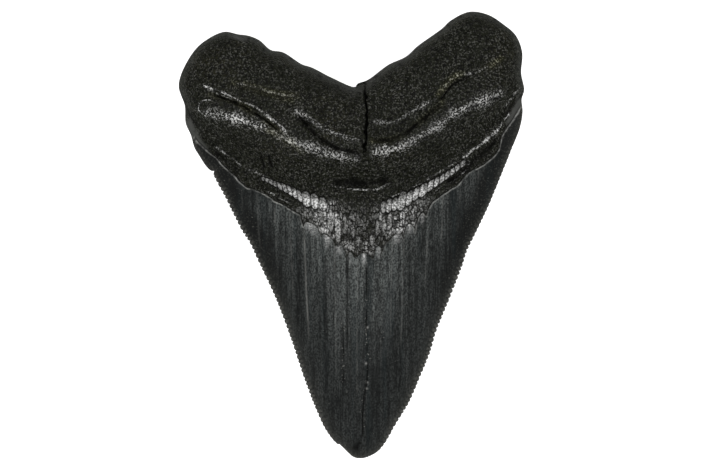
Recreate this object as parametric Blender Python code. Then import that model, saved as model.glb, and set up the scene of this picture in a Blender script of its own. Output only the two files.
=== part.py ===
# Fossil megalodon tooth, one solid piece, lying on its flatter labial face with the lingual face up.
# X runs across the tooth, Y from the tip up to the root, Z up from the surface it rests on.
# The origin is under the middle of its box, on that surface.
import math

import bpy
import numpy as np
from mathutils import Vector
from mathutils.geometry import delaunay_2d_cdt

# Lengths are in millimetres until the mesh is written in metres.
METRES_PER_MM = 0.001

# The outline seen from above, clockwise from the chip in the left flank.
ROOT_OUTLINE = [
    (-27.6, 12.9), (-28.1, 12.9), (-29.2, 13.9), (-30.5, 15.9), (-31.5, 17.6), (-32.2, 20.1), (-33.2, 22.4),
    (-33.4, 26.0), (-34.1, 27.9), (-34.6, 29.7), (-34.1, 32.3), (-31.5, 36.9), (-29.2, 39.0), (-25.5, 40.7),
    (-22.6, 40.2), (-20.5, 39.9), (-18.4, 39.0), (-16.2, 37.1), (-13.7, 36.6), (-9.9, 34.2), (-8.0, 33.6),
    (-4.1, 31.6), (0.7, 29.7), (1.1, 30.3), (3.2, 31.1), (7.3, 34.1), (10.9, 35.8), (13.1, 37.8), (18.1, 41.4),
    (19.7, 42.9), (23.5, 44.7), (27.3, 44.1), (30.2, 42.3), (32.8, 40.0), (34.1, 36.6), (33.9, 32.4), (34.5, 29.1),
    (34.0, 27.2), (34.2, 24.8), (33.7, 21.7), (32.2, 17.7),
]
RIGHT_EDGE = [
    (28.8, 9.1), (27.2, 5.3), (25.3, 1.3), (23.1, -3.4), (22.1, -6.5), (19.6, -12.9), (17.0, -19.3), (15.8, -23.4),
    (13.5, -29.0), (11.6, -33.4), (9.0, -37.7), (6.4, -42.1),
]
TIP_OUTLINE = [(4.9, -43.6), (2.3, -44.7), (0.4, -44.5), (-0.7, -43.6)]
LEFT_EDGE = [
    (-2.4, -42.0), (-3.0, -41.8), (-5.3, -38.9), (-7.2, -34.9), (-9.4, -29.2), (-12.4, -20.3), (-15.2, -12.9),
    (-19.2, -4.3), (-20.5, -1.5), (-22.0, 0.8), (-25.4, 7.6), (-27.7, 12.2),
]
OUTLINE = ROOT_OUTLINE + RIGHT_EDGE + TIP_OUTLINE + LEFT_EDGE
FIRST_ON_RIGHT_EDGE = len(ROOT_OUTLINE) - 1
FIRST_ON_TIP = len(ROOT_OUTLINE) + len(RIGHT_EDGE)
FIRST_ON_LEFT_EDGE = FIRST_ON_TIP + len(TIP_OUTLINE)
LAST_ON_LEFT_EDGE = len(OUTLINE) - 1

# Serrations along both cutting edges.
SERRATION_PITCH = 0.94
SERRATION_DEPTH = 0.3
SERRATION_SEED = 7
# Stretches as heights above the middle of the tooth where wear has left only part of the depth.
WORN_RIGHT = [(20.0, 0.15), (14.0, 0.4), (3.0, 0.55), (-2.0, 1.0), (-8.0, 1.15), (-26.0, 0.9), (-40.0, 0.7), (-44.0, 0.2)]
WORN_LEFT = [(13.0, 1.0), (0.0, 1.0), (-10.0, 0.85), (-24.0, 0.9), (-36.0, 0.75), (-42.0, 0.25)]

# Height of the sharp edge above the surface that the tooth lies on, from the tip up to the root.
EDGE_HEIGHT = [(-45.0, 2.0), (-30.0, 2.4), (6.0, 2.6), (22.0, 4.8), (45.0, 5.6)]
# Rise of the lingual face over that edge along the middle of the crown.
CROWN_RISE = [(-45.0, 0.5), (-43.0, 1.7), (-38.0, 3.4), (-28.0, 5.9), (-16.0, 8.3), (-4.0, 10.1), (8.0, 11.0), (20.0, 11.4)]
CROWN_ROUNDNESS = 2.15
# The flattened margin inside each cutting edge ends in a soft groove.
MARGIN_WIDTH = 4.6
MARGIN_GROOVE_DEPTH = 0.28
MARGIN_GROOVE_WIDTH = 1.3

# The root stands highest on a V-shaped crest and rounds over at its outline.
ROOT_CREST = [
    (-34.0, 26.0), (-30.0, 24.6), (-25.0, 22.8), (-20.0, 21.2), (-15.0, 19.2), (-10.0, 17.2), (-5.0, 16.0), (2.0, 15.2),
    (6.0, 16.4), (10.0, 18.0), (15.0, 21.2), (20.0, 24.4), (25.0, 26.8), (30.0, 28.2), (35.0, 29.0),
]
ROOT_FOOT = [
    (-34.0, 20.0), (-27.0, 16.6), (-20.0, 12.6), (-12.0, 8.8), (-4.0, 8.4), (2.0, 8.6), (9.0, 8.8), (15.0, 12.0),
    (20.0, 15.4), (26.0, 19.4), (30.0, 23.4), (35.0, 27.0),
]
ROOT_CREST_HEIGHT = 18.8
ROOT_CREST_ROUNDING = 2.6
ROOT_FALL_ACROSS = 0.0062
ROOT_FALL_UPWARD = 0.15
ROOT_EDGE_ROUND = 5.2

# Folds and creases of the lingual face: the line, half width, height (a groove is below zero) and end fade.
FOLDS = {
    "left upper ridge": ([(-30.0, 30.0), (-26.3, 28.4), (-21.8, 27.0), (-18.0, 24.9), (-14.4, 22.2), (-12.4, 20.0)], 0.55, 0.4, 3.0),
    "left upper groove": ([(-27.8, 28.2), (-22.4, 26.0), (-18.4, 23.8), (-14.8, 21.0), (-12.0, 18.9)], 0.6, -0.75, 3.0),
    "left faint ridge": ([(-23.4, 30.2), (-18.4, 29.1), (-14.0, 28.0), (-10.4, 27.2)], 0.6, 0.3, 2.5),
    "left inner crest": ([(-12.0, 25.2), (-8.6, 22.6), (-5.4, 20.4), (-2.0, 19.0), (2.4, 18.3)], 1.0, 0.45, 2.5),
    "left inner groove": ([(-10.8, 23.4), (-8.0, 20.6), (-5.0, 18.4), (-1.6, 16.9), (2.4, 16.0)], 0.7, -0.8, 2.5),
    "left crest": (
        [(-30.4, 25.4), (-27.6, 24.0), (-22.8, 22.8), (-16.2, 20.8), (-10.2, 17.8), (-4.2, 15.9), (2.6, 14.7)], 1.5, 0.5, 3.0,
    ),
    "right upper ridge": (
        [(3.4, 22.6), (8.2, 22.3), (11.2, 24.2), (17.2, 27.4), (20.6, 31.2), (25.0, 32.2), (29.4, 35.2)], 0.7, 0.35, 3.0,
    ),
    "right upper groove": ([(7.0, 20.2), (10.4, 19.8), (14.2, 22.8), (18.0, 26.8), (21.6, 30.4)], 0.6, -0.7, 2.5),
    "right crest": (
        [(2.8, 15.4), (8.4, 17.0), (11.2, 18.2), (17.2, 21.8), (20.4, 24.4), (25.0, 26.4), (31.0, 28.2)], 1.5, 0.5, 3.0,
    ),
    "right crest groove": ([(22.4, 24.6), (25.2, 26.0), (29.8, 27.4)], 0.45, -0.35, 2.0),
    "central hollow": ([(-4.4, 11.2), (-0.6, 10.7), (2.9, 10.6), (6.4, 11.0), (9.4, 12.0)], 1.1, -0.8, 3.0),
    "central lip": ([(-3.2, 9.8), (0.0, 9.4), (3.6, 9.3), (6.0, 9.9), (8.4, 10.9)], 0.45, 0.3, 2.0),
}
CRACK = [(3.0, 31.2), (3.0, 29.0), (2.7, 25.8), (3.1, 21.9), (2.6, 18.3), (2.6, 15.4)]
CRACK_HALF_WIDTH = 0.3
CRACK_DEPTH = 1.7
CRACK_STEP = 0.45
CRACK_STEP_REACH = 3.5
# A small chip at the bottom of the notch, beside the crack's upper end.
NOTCH_CHIP = (1.9, 30.3)
NOTCH_CHIP_RADIUS = 1.5
NOTCH_CHIP_DEPTH = 4.0

# The enamel starts at a thin raised lip, from the left shoulder to the right one.
ENAMEL_LINE = [
    (-31.6, 18.6), (-27.0, 15.4), (-24.0, 12.6), (-21.4, 10.0), (-18.0, 8.2), (-14.8, 6.8), (-12.4, 5.6), (-10.2, 3.4),
    (-8.4, 1.4), (-4.6, -0.6), (-1.4, -3.2), (1.2, -4.0), (4.0, -3.6), (7.4, -0.6), (11.4, 2.6), (14.8, 4.6), (16.8, 7.6),
    (21.2, 10.0), (25.8, 13.6), (29.2, 17.4), (30.6, 21.0), (33.4, 26.0),
]
ENAMEL_STEP = 0.3
ENAMEL_LIP = 0.22
ENAMEL_LIP_WIDTH = 0.45
# Rounded scales of the bourlette, one band on each side of the middle.
SCALE_BANDS = [
    [(-19.6, 11.4), (-15.6, 10.4), (-12.6, 8.8), (-8.4, 7.2), (-5.0, 5.6)],
    [(7.4, 5.0), (11.4, 7.0), (15.2, 9.4), (19.2, 12.2), (23.0, 15.6)],
]
SCALE_PITCH = 1.5
SCALE_HALF_LENGTH = 1.3
SCALE_HEIGHT = 0.4

# The labial face: nearly flat, with a small worn flat spot that it rests on.
LABIAL_MIDDLE = [(-45.0, 1.5), (-38.0, 1.0), (-26.0, 0.5), (-12.0, 0.1), (0.0, -0.25), (18.0, -0.25), (24.0, 0.1), (45.0, 0.9)]
LABIAL_ROUNDNESS = 2.4
LABIAL_ROOT_HEIGHT = 0.7
LABIAL_ROOT_ROUND = 4.2
LABIAL_ENAMEL_LINE = [(-34.0, 19.4), (-22.0, 20.6), (-10.0, 20.2), (1.0, 18.8), (12.0, 20.4), (24.0, 21.4), (34.0, 21.6)]
LABIAL_ENAMEL_STEP = 0.35
LABIAL_STEP_REACH = (-1.5, 6.0)
REST_CENTRE = (1.2, 10.5)
REST_RADII = (9.0, 10.0)
REST_RIM_POINTS = 24
REST_FACET_RADIUS = 5.0

# Spacing of the mesh's points.
ROOT_RING_STEP = 1.3
ROOT_RIM_OFFSETS = (0.4, 1.2, 2.6)
FOLD_STEP = 1.0
ROOT_STEP = 1.2
CROWN_STEP = 2.0
LABIAL_STEP = 2.6
DENSE_STEP = 0.1


def curve_through(points, closed=False):
    """A dense centripetal Catmull-Rom curve, with its arc length and the arc length at each given point."""
    given = np.array(points, float)
    if closed:
        padded = np.vstack([given[-1:], given, given[:2]])
    else:
        padded = np.vstack([2 * given[0] - given[1], given, 2 * given[-1] - given[-2]])
    samples = []
    starts = []
    for before, start, end, after in zip(padded[:-3], padded[1:-2], padded[2:-1], padded[3:]):
        knots = np.cumsum([0.0] + [math.sqrt(math.dist(a, b)) for a, b in ((before, start), (start, end), (end, after))])
        count = max(2, math.ceil(math.dist(start, end) / DENSE_STEP))
        t = np.linspace(knots[1], knots[2], count, endpoint=False)[:, None]
        a1 = (before * (knots[1] - t) + start * t) / knots[1]
        a2 = (start * (knots[2] - t) + end * (t - knots[1])) / (knots[2] - knots[1])
        a3 = (end * (knots[3] - t) + after * (t - knots[2])) / (knots[3] - knots[2])
        b1 = (a1 * (knots[2] - t) + a2 * t) / knots[2]
        b2 = (a2 * (knots[3] - t) + a3 * (t - knots[1])) / (knots[3] - knots[1])
        starts.append(sum(len(s) for s in samples))
        samples.append((b1 * (knots[2] - t) + b2 * (t - knots[1])) / (knots[2] - knots[1]))
    samples.append(given[:1] if closed else given[-1:])
    starts.append(sum(len(s) for s in samples) - 1)
    curve = np.vstack(samples)
    arc = np.concatenate([[0.0], np.cumsum(np.linalg.norm(np.diff(curve, axis=0), axis=1))])
    return curve, arc, arc[starts]


def at_arc(curve, arc, where):
    """The points at the given arc lengths and the unit normals on the curve's right-hand side."""
    where = np.atleast_1d(where)
    points = np.column_stack([np.interp(where, arc, curve[:, k]) for k in (0, 1)])
    reach = 0.4
    ahead = np.column_stack([np.interp(where + reach, arc, curve[:, k]) for k in (0, 1)])
    behind = np.column_stack([np.interp(where - reach, arc, curve[:, k]) for k in (0, 1)])
    along = ahead - behind
    along /= np.linalg.norm(along, axis=1)[:, None]
    return points, np.column_stack([along[:, 1], -along[:, 0]])


def nearest(places, curve, arc):
    """Distance to the curve, arc length of the nearest place on it, and distance signed by side (left is above zero)."""
    starts = curve[:-1]
    spans = np.diff(curve, axis=0)
    squares = (spans**2).sum(axis=1)
    distance = np.empty(len(places))
    along = np.empty(len(places))
    signed = np.empty(len(places))
    for first in range(0, len(places), 2000):
        block = places[first:first + 2000]
        offset = block[:, None, :] - starts[None, :, :]
        share = np.clip((offset * spans).sum(axis=2) / squares, 0.0, 1.0)
        gap = offset - share[:, :, None] * spans
        lengths = (gap**2).sum(axis=2)
        best = lengths.argmin(axis=1)
        rows = np.arange(len(block))
        distance[first:first + 2000] = np.sqrt(lengths[rows, best])
        along[first:first + 2000] = arc[best] + share[rows, best] * np.sqrt(squares[best])
        cross = spans[best, 0] * offset[rows, best, 1] - spans[best, 1] * offset[rows, best, 0]
        signed[first:first + 2000] = np.where(cross < 0.0, -1.0, 1.0)
    return distance, along, signed * distance


def smoothstep(value, low, high):
    t = np.clip((value - low) / (high - low), 0.0, 1.0)
    return t * t * (3.0 - 2.0 * t)


def profile(value, points):
    """A smooth run through a few (place, height) points."""
    given = sorted(points)
    curve, _, _ = curve_through(given)
    return np.interp(value, curve[:, 0], curve[:, 1])


OUTLINE_CURVE, OUTLINE_ARC, OUTLINE_STARTS = curve_through(OUTLINE, closed=True)
COARSE_OUTLINE = OUTLINE_CURVE[::5]
COARSE_ARC = OUTLINE_ARC[::5]


def edge_height(places):
    return profile(places[:, 1], EDGE_HEIGHT)


def crown_share_across(places):
    """How far each place is from the crown's middle line: 0 there, 1 on a cutting edge."""
    left = np.array(LEFT_EDGE + [(-32.0, 20.0), (-34.0, 30.0)])
    right = np.array(RIGHT_EDGE[::-1] + [(33.2, 20.0), (34.4, 30.0)])
    y = places[:, 1]
    low = np.interp(y, left[:, 1], left[:, 0])
    high = np.interp(y, right[:, 1], right[:, 0])
    return np.clip(np.abs(2.0 * places[:, 0] - low - high) / (high - low), 0.0, 1.0)


def rounded_edge(distance, radius):
    t = np.clip(distance / radius, 0.0, 1.0)
    return np.sqrt(1.0 - (1.0 - t) ** 2)


def faded(along, length, fade):
    return smoothstep(along, 0.0, fade) * smoothstep(length - along, 0.0, fade)


def fold_relief(places):
    relief = np.zeros(len(places))
    for line, half_width, height, fade in FOLDS.values():
        curve, arc, _ = curve_through(line)
        distance, along, _ = nearest(places, curve[::4], arc[::4])
        relief += height * faded(along, arc[-1], fade) * np.exp(-((distance / half_width) ** 2))
    return relief


def crack_relief(places):
    curve, arc, _ = curve_through(CRACK)
    distance, along, signed = nearest(places, curve, arc)
    groove = -CRACK_DEPTH * smoothstep(arc[-1] - along, 0.0, 3.0) * np.exp(-((distance / CRACK_HALF_WIDTH) ** 4))
    upper = 1.0 - smoothstep(along, 1.0, 9.0)
    step = CRACK_STEP * upper * np.exp(-distance / CRACK_STEP_REACH)
    return groove + np.where(signed > 0.0, step, 0.0)


def scale_relief(places):
    relief = np.zeros(len(places))
    for line in SCALE_BANDS:
        curve, arc, _ = curve_through(line)
        distance, along, _ = nearest(places, curve, arc)
        ripple = np.abs(np.sin(math.pi * along / SCALE_PITCH))
        relief += SCALE_HEIGHT * ripple * faded(along, arc[-1], 2.0) * np.exp(-((distance / SCALE_HALF_LENGTH) ** 4))
    return relief


def enamel_relief(places):
    """The root side stands above the enamel by a small step, with a thin lip on the line between them."""
    curve, arc, _ = curve_through(ENAMEL_LINE)
    distance, _, signed = nearest(places, curve[::3], arc[::3])
    step = ENAMEL_STEP * smoothstep(signed, -0.25, 0.35) * np.exp(-np.maximum(signed, 0.0) / 4.0)
    return step + ENAMEL_LIP * np.exp(-((distance / ENAMEL_LIP_WIDTH) ** 2))


def lingual_height(places):
    """Height of the face on show."""
    distance, _, _ = nearest(places, COARSE_OUTLINE, COARSE_ARC)
    base = edge_height(places)
    across = crown_share_across(places)
    y = places[:, 1]
    crown = base + profile(y, CROWN_RISE) * (1.0 - across**CROWN_ROUNDNESS)
    below_shoulder = 1.0 - smoothstep(y, 6.0, 16.0)
    near_groove = (distance - MARGIN_WIDTH) / MARGIN_GROOVE_WIDTH
    above_tip = smoothstep(y, -41.0, -34.0)
    crown -= MARGIN_GROOVE_DEPTH * below_shoulder * above_tip * np.exp(-(near_groove**2))
    crest = profile(places[:, 0], ROOT_CREST)
    foot = profile(places[:, 0], ROOT_FOOT)
    inner = ROOT_CREST_HEIGHT - ROOT_FALL_ACROSS * places[:, 0] ** 2 - ROOT_FALL_UPWARD * np.maximum(y - crest, 0.0)
    root = base + (inner - base) * rounded_edge(distance, ROOT_EDGE_ROUND)
    root_share = smoothstep(y, foot, crest + ROOT_CREST_ROUNDING)
    height = crown + (root - crown) * root_share
    inside = smoothstep(distance, 0.2, 2.0)
    chip = np.linalg.norm(places - NOTCH_CHIP, axis=1) / NOTCH_CHIP_RADIUS
    height -= NOTCH_CHIP_DEPTH * np.exp(-(chip**4))
    relief = fold_relief(places) + crack_relief(places) + scale_relief(places) + enamel_relief(places)
    return np.maximum(height + relief * inside, base + 0.35 * distance)


def labial_height(places):
    """Height of the face underneath: zero on the flat spot, and never below it."""
    distance, _, _ = nearest(places, COARSE_OUTLINE, COARSE_ARC)
    base = edge_height(places)
    across = crown_share_across(places)
    y = places[:, 1]
    middle = profile(y, LABIAL_MIDDLE)
    crown = base - (base - middle) * (1.0 - across**LABIAL_ROUNDNESS)
    line = profile(places[:, 0], LABIAL_ENAMEL_LINE)
    inner = LABIAL_ROOT_HEIGHT + LABIAL_ENAMEL_STEP
    root = base - (base - inner) * rounded_edge(distance, LABIAL_ROOT_ROUND)
    height = crown + (root - crown) * smoothstep(y - line, *LABIAL_STEP_REACH)
    u = (places - REST_CENTRE) / REST_RADII
    height = height * smoothstep((u**2).sum(axis=1), 1.0, 1.7)
    return np.minimum(np.maximum(height, 0.0), base - 0.12 * np.minimum(distance, 2.0))


def serration_marks(start, end, wear, seed):
    """Arc lengths and depths of the valleys and tip corners of the serrations between two arc lengths."""
    chance = np.random.RandomState(seed)
    marks = []
    where = start
    while where < end - SERRATION_PITCH:
        pitch = SERRATION_PITCH * chance.uniform(0.84, 1.16)
        place, _ = at_arc(OUTLINE_CURVE, OUTLINE_ARC, where)
        depth = SERRATION_DEPTH * chance.uniform(0.7, 1.3) * profile(place[:, 1], wear)[0]
        marks.append((where, depth))
        marks.append((where + 0.36 * pitch, 0.0))
        marks.append((where + 0.66 * pitch, 0.0))
        where += pitch
    return marks


def ring_points():
    """The outline as the mesh has it: plain round the root and the tip, serrated along both cutting edges."""
    starts = OUTLINE_STARTS
    plain = []
    for first in list(range(FIRST_ON_RIGHT_EDGE)) + list(range(FIRST_ON_TIP, FIRST_ON_LEFT_EDGE)) + [LAST_ON_LEFT_EDGE]:
        count = max(1, math.ceil((starts[first + 1] - starts[first]) / ROOT_RING_STEP))
        plain += [(where, 0.0) for where in np.linspace(starts[first], starts[first + 1], count, endpoint=False)]
    right = serration_marks(starts[FIRST_ON_RIGHT_EDGE], starts[FIRST_ON_TIP], WORN_RIGHT, SERRATION_SEED)
    left = serration_marks(starts[FIRST_ON_LEFT_EDGE], starts[LAST_ON_LEFT_EDGE], WORN_LEFT, SERRATION_SEED + 1)
    marks = np.array(sorted(plain + right + left))
    points, normals = at_arc(OUTLINE_CURVE, OUTLINE_ARC, marks[:, 0])
    serrated = np.array([mark[0] for mark in right + left])
    return points + normals * marks[:, 1:], serrated


class Scatter:
    """Collects mesh points inside the outline, none closer to another than its own spacing."""

    def __init__(self, cell):
        self.cell = cell
        self.cells = {}
        self.points = []

    def close(self, point, spacing):
        reach = math.ceil(spacing / self.cell)
        column, row = (math.floor(value / self.cell) for value in point)
        for i in range(column - reach, column + reach + 1):
            for j in range(row - reach, row + reach + 1):
                for other in self.cells.get((i, j), ()):
                    if math.dist(point, other) < spacing:
                        return True
        return False

    def add(self, points, spacing, least_inside):
        points = np.asarray(points, float)
        distance, _, signed = nearest(points, COARSE_OUTLINE, COARSE_ARC)
        for point in points[(signed < 0.0) & (distance > least_inside)].tolist():
            if not self.close(point, spacing):
                key = tuple(math.floor(value / self.cell) for value in point)
                self.cells.setdefault(key, []).append(point)
                self.points.append(point)


def along_line(line, step, offset=0.0):
    curve, arc, _ = curve_through(line)
    points, normals = at_arc(curve, arc, np.linspace(0.0, arc[-1], max(2, round(arc[-1] / step) + 1)))
    return points + normals * offset


def hexagonal(step, low, high):
    """A triangular lattice of points over a rectangle."""
    rows = np.arange(low[1], high[1], step * math.sqrt(0.75))
    columns = np.arange(low[0], high[0], step)
    return np.array([(x + step * 0.5 * (k % 2), y) for k, y in enumerate(rows) for x in columns])


def rim_points(scatter, serrated):
    """Points just inside the outline: one behind each serration and closer rows round the root."""
    behind, normals = at_arc(OUTLINE_CURVE, OUTLINE_ARC, serrated[1::3] + 0.15 * SERRATION_PITCH)
    scatter.add(behind + normals * 0.6, 0.3, 0.4)
    root_end = OUTLINE_STARTS[FIRST_ON_RIGHT_EDGE]
    for offset in ROOT_RIM_OFFSETS:
        rim, normals = at_arc(OUTLINE_CURVE, OUTLINE_ARC, np.arange(0.0, root_end, ROOT_RING_STEP))
        scatter.add(rim + normals * offset, 0.55 * min(ROOT_RING_STEP, offset * 2.0), offset * 0.9)


def lingual_points(serrated):
    scatter = Scatter(1.0)
    rim_points(scatter, serrated)
    for offset in (0.0, -0.55, 0.55):
        scatter.add(along_line(CRACK, FOLD_STEP, offset), 0.45, 0.3)
    for line, half_width, _, _ in FOLDS.values():
        scatter.add(along_line(line, FOLD_STEP), 0.5, 0.8)
    for line, half_width, _, _ in FOLDS.values():
        for side in (-1.4, 1.4):
            scatter.add(along_line(line, FOLD_STEP, side * half_width), 0.62, 0.8)
    for offset in (0.0, -0.5, 0.6):
        scatter.add(along_line(ENAMEL_LINE, FOLD_STEP, offset), 0.42, 0.4)
    for line in SCALE_BANDS:
        for offset in (-1.6, -0.8, 0.0, 0.8, 1.6):
            scatter.add(along_line(line, SCALE_PITCH / 2, offset), 0.45, 0.6)
    low = OUTLINE_CURVE.min(axis=0)
    high = OUTLINE_CURVE.max(axis=0)
    lattice = hexagonal(ROOT_STEP, low, high)
    line = profile(lattice[:, 0], [(x, y) for x, y in ENAMEL_LINE])
    scatter.add(lattice[lattice[:, 1] > line - 1.5], 0.85 * ROOT_STEP, 0.8)
    scatter.add(hexagonal(CROWN_STEP, low, high), 0.8 * CROWN_STEP, 1.2)
    return scatter.points


def labial_points(serrated):
    scatter = Scatter(1.0)
    rim_points(scatter, serrated)
    turns = np.linspace(0.0, 2.0 * math.pi, REST_RIM_POINTS, endpoint=False)
    rim = np.array(REST_CENTRE) + np.array(REST_RADII) * np.column_stack([np.cos(turns), np.sin(turns)])
    scatter.add(rim, 0.5, 1.0)
    thirds = turns[::REST_RIM_POINTS // 3]
    facet = np.array(REST_CENTRE) + REST_FACET_RADIUS * np.column_stack([np.cos(thirds), np.sin(thirds)])
    scatter.add(facet, 0.5, 1.0)
    for offset in (-0.6, 3.5):
        scatter.add(along_line(LABIAL_ENAMEL_LINE, LABIAL_STEP, offset), 1.0, 1.0)
    lattice = hexagonal(LABIAL_STEP, OUTLINE_CURVE.min(axis=0), OUTLINE_CURVE.max(axis=0))
    u = (lattice - REST_CENTRE) / REST_RADII
    scatter.add(lattice[(u**2).sum(axis=1) > 1.0], 0.8 * LABIAL_STEP, 1.2)
    return scatter.points


def triangulated(ring, inner):
    """Triangles over the inside of the ring. Each one has a corner inside, so that the two faces never touch."""
    count = len(ring)
    inner = list(inner)
    while True:
        flat = [Vector(point) for point in ring.tolist() + inner]
        loop = [list(range(count))]
        points, _, faces, origins, _, _ = delaunay_2d_cdt(flat, [], loop, 1, 1e-6)
        faces = [[origins[corner][0] for corner in face] for face in faces]
        flush = [face for face in faces if max(face) < count]
        if not flush:
            return inner, faces
        inner += [np.mean([flat[corner] for corner in face], axis=0).tolist() for face in flush]


def build_tooth():
    ring, serrated = ring_points()
    upper, upper_faces = triangulated(ring, lingual_points(serrated))
    lower, lower_faces = triangulated(ring, labial_points(serrated))
    count = len(ring)
    upper = np.array(upper)
    lower = np.array(lower)
    heights = np.concatenate([edge_height(ring), lingual_height(upper), labial_height(lower)])
    places = np.column_stack([np.vstack([ring, upper, lower]), heights]) * METRES_PER_MM
    shift = len(upper)
    below = [[corner if corner < count else corner + shift for corner in face][::-1] for face in lower_faces]
    mesh = bpy.data.meshes.new("tooth")
    mesh.from_pydata(places.tolist(), [], upper_faces + below)
    mesh.validate()
    mesh.shade_smooth()
    tooth = bpy.data.objects.new("tooth", mesh)
    mesh.materials.append(fossil_material())
    return tooth


def fossil_material():
    """Black phosphate: dull on the root, a little glossy on the enamel."""
    material = bpy.data.materials.new("fossil_tooth")
    material.use_nodes = True
    shader = material.node_tree.nodes["Principled BSDF"]
    shader.inputs["Base Color"].default_value = (0.022, 0.023, 0.021, 1.0)
    shader.inputs["Roughness"].default_value = 0.42
    shader.inputs["Metallic"].default_value = 0.0
    return material


def clear_scene():
    for thing in list(bpy.data.objects):
        bpy.data.objects.remove(thing, do_unlink=True)


clear_scene()
collection = bpy.data.collections.new("fossil_megalodon_tooth")
bpy.context.scene.collection.children.link(collection)
collection.objects.link(build_tooth())
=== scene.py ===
# Fossil megalodon tooth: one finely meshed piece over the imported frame, in its own fossil finish,
# on a pale floor under soft light. X runs across the tooth, Y from the tip up to the root, Z up.
# Lengths are in millimetres until the mesh is written in metres.
import math

import bpy
import numpy as np
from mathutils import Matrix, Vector, kdtree
from mathutils.geometry import delaunay_2d_cdt


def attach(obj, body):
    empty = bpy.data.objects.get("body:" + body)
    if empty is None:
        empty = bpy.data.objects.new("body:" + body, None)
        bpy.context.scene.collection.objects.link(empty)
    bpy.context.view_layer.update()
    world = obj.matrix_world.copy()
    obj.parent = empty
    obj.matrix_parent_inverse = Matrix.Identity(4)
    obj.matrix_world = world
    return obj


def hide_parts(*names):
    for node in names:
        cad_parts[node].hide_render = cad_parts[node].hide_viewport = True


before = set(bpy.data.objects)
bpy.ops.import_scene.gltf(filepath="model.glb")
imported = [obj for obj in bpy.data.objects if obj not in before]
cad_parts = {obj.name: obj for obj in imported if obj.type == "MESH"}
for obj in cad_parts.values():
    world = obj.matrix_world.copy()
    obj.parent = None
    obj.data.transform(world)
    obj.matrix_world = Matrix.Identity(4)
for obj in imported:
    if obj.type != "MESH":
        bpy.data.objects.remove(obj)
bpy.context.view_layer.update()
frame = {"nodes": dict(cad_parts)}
metresPerMm = 0.001
print("frame loaded with", ", ".join(frame["nodes"]))


# A dense centripetal curve through the points, its arc length, and the arc length at each given point.
def curveThrough(points, closed=False, step=0.1):
    given = np.array(points, float)
    if closed:
        padded = np.vstack([given[-1:], given, given[:2]])
    else:
        padded = np.vstack([2 * given[0] - given[1], given, 2 * given[-1] - given[-2]])
    samples = []
    starts = []
    total = 0
    for before, start, end, after in zip(padded[:-3], padded[1:-2], padded[2:-1], padded[3:]):
        gaps = [math.sqrt(math.dist(a, b)) for a, b in ((before, start), (start, end), (end, after))]
        knots = np.cumsum([0.0] + gaps)
        count = max(2, math.ceil(math.dist(start, end) / step))
        t = np.linspace(knots[1], knots[2], count, endpoint=False)[:, None]
        a1 = (before * (knots[1] - t) + start * t) / knots[1]
        a2 = (start * (knots[2] - t) + end * (t - knots[1])) / (knots[2] - knots[1])
        a3 = (end * (knots[3] - t) + after * (t - knots[2])) / (knots[3] - knots[2])
        b1 = (a1 * (knots[2] - t) + a2 * t) / knots[2]
        b2 = (a2 * (knots[3] - t) + a3 * (t - knots[1])) / (knots[3] - knots[1])
        samples.append((b1 * (knots[2] - t) + b2 * (t - knots[1])) / (knots[2] - knots[1]))
        starts.append(total)
        total += count
    samples.append(given[:1] if closed else given[-1:])
    starts.append(total)
    curve = np.vstack(samples)
    arc = np.concatenate([[0.0], np.cumsum(np.linalg.norm(np.diff(curve, axis=0), axis=1))])
    return curve, arc, arc[starts]


# Points at arc lengths, with the unit normals on the curve's right-hand side. Reach smooths the normals.
def atArc(curve, arc, where, reach=0.4):
    where = np.atleast_1d(where)
    points = np.column_stack([np.interp(where, arc, curve[:, k]) for k in (0, 1)])
    ahead = np.column_stack([np.interp(where + reach, arc, curve[:, k]) for k in (0, 1)])
    behind = np.column_stack([np.interp(where - reach, arc, curve[:, k]) for k in (0, 1)])
    along = ahead - behind
    along /= np.linalg.norm(along, axis=1)[:, None]
    return points, np.column_stack([along[:, 1], -along[:, 0]])


def treeOf(places):
    tree = kdtree.KDTree(len(places))
    for number, (x, y) in enumerate(places.tolist()):
        tree.insert((x, y, 0.0), number)
    tree.balance()
    return tree


# Distance to a curve, arc length of the nearest place, and the distance signed by side (left above zero).
def nearestOn(places, curve, arc):
    tree = treeOf(curve)
    index = np.array([tree.find((x, y, 0.0))[1] for x, y in places.tolist()], int)
    distance = np.full(len(places), 1e9)
    along = np.zeros(len(places))
    signed = np.zeros(len(places))
    for start in (np.clip(index - 1, 0, len(curve) - 2), np.clip(index, 0, len(curve) - 2)):
        span = curve[start + 1] - curve[start]
        offset = places - curve[start]
        square = (span**2).sum(axis=1)
        share = np.clip((offset * span).sum(axis=1) / square, 0.0, 1.0)
        gap = np.linalg.norm(offset - share[:, None] * span, axis=1)
        cross = span[:, 0] * offset[:, 1] - span[:, 1] * offset[:, 0]
        closer = gap < distance
        distance = np.where(closer, gap, distance)
        along = np.where(closer, arc[start] + share * np.sqrt(square), along)
        signed = np.where(closer, np.where(cross < 0.0, -gap, gap), signed)
    return distance, along, signed


def smooth(value, low, high):
    t = np.clip((value - low) / (high - low), 0.0, 1.0)
    return t * t * (3.0 - 2.0 * t)


# A smooth run through a few (place, height) points.
def runThrough(value, points):
    curve, _, _ = curveThrough(sorted(points))
    return np.interp(value, curve[:, 0], curve[:, 1])


def faded(along, length, fade):
    return smooth(along, 0.0, fade) * smooth(length - along, 0.0, fade)


# 1 in the middle and 0 far from it; a higher power gives it a flatter top.
def bell(value, middle, width, power=2):
    return np.exp(-(((value - middle) / width) ** power))


def softSpot(places, x, y, wide, tall, power):
    square = ((places[:, 0] - x) / wide) ** 2 + ((places[:, 1] - y) / tall) ** 2
    return np.exp(-(square**power))


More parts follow.
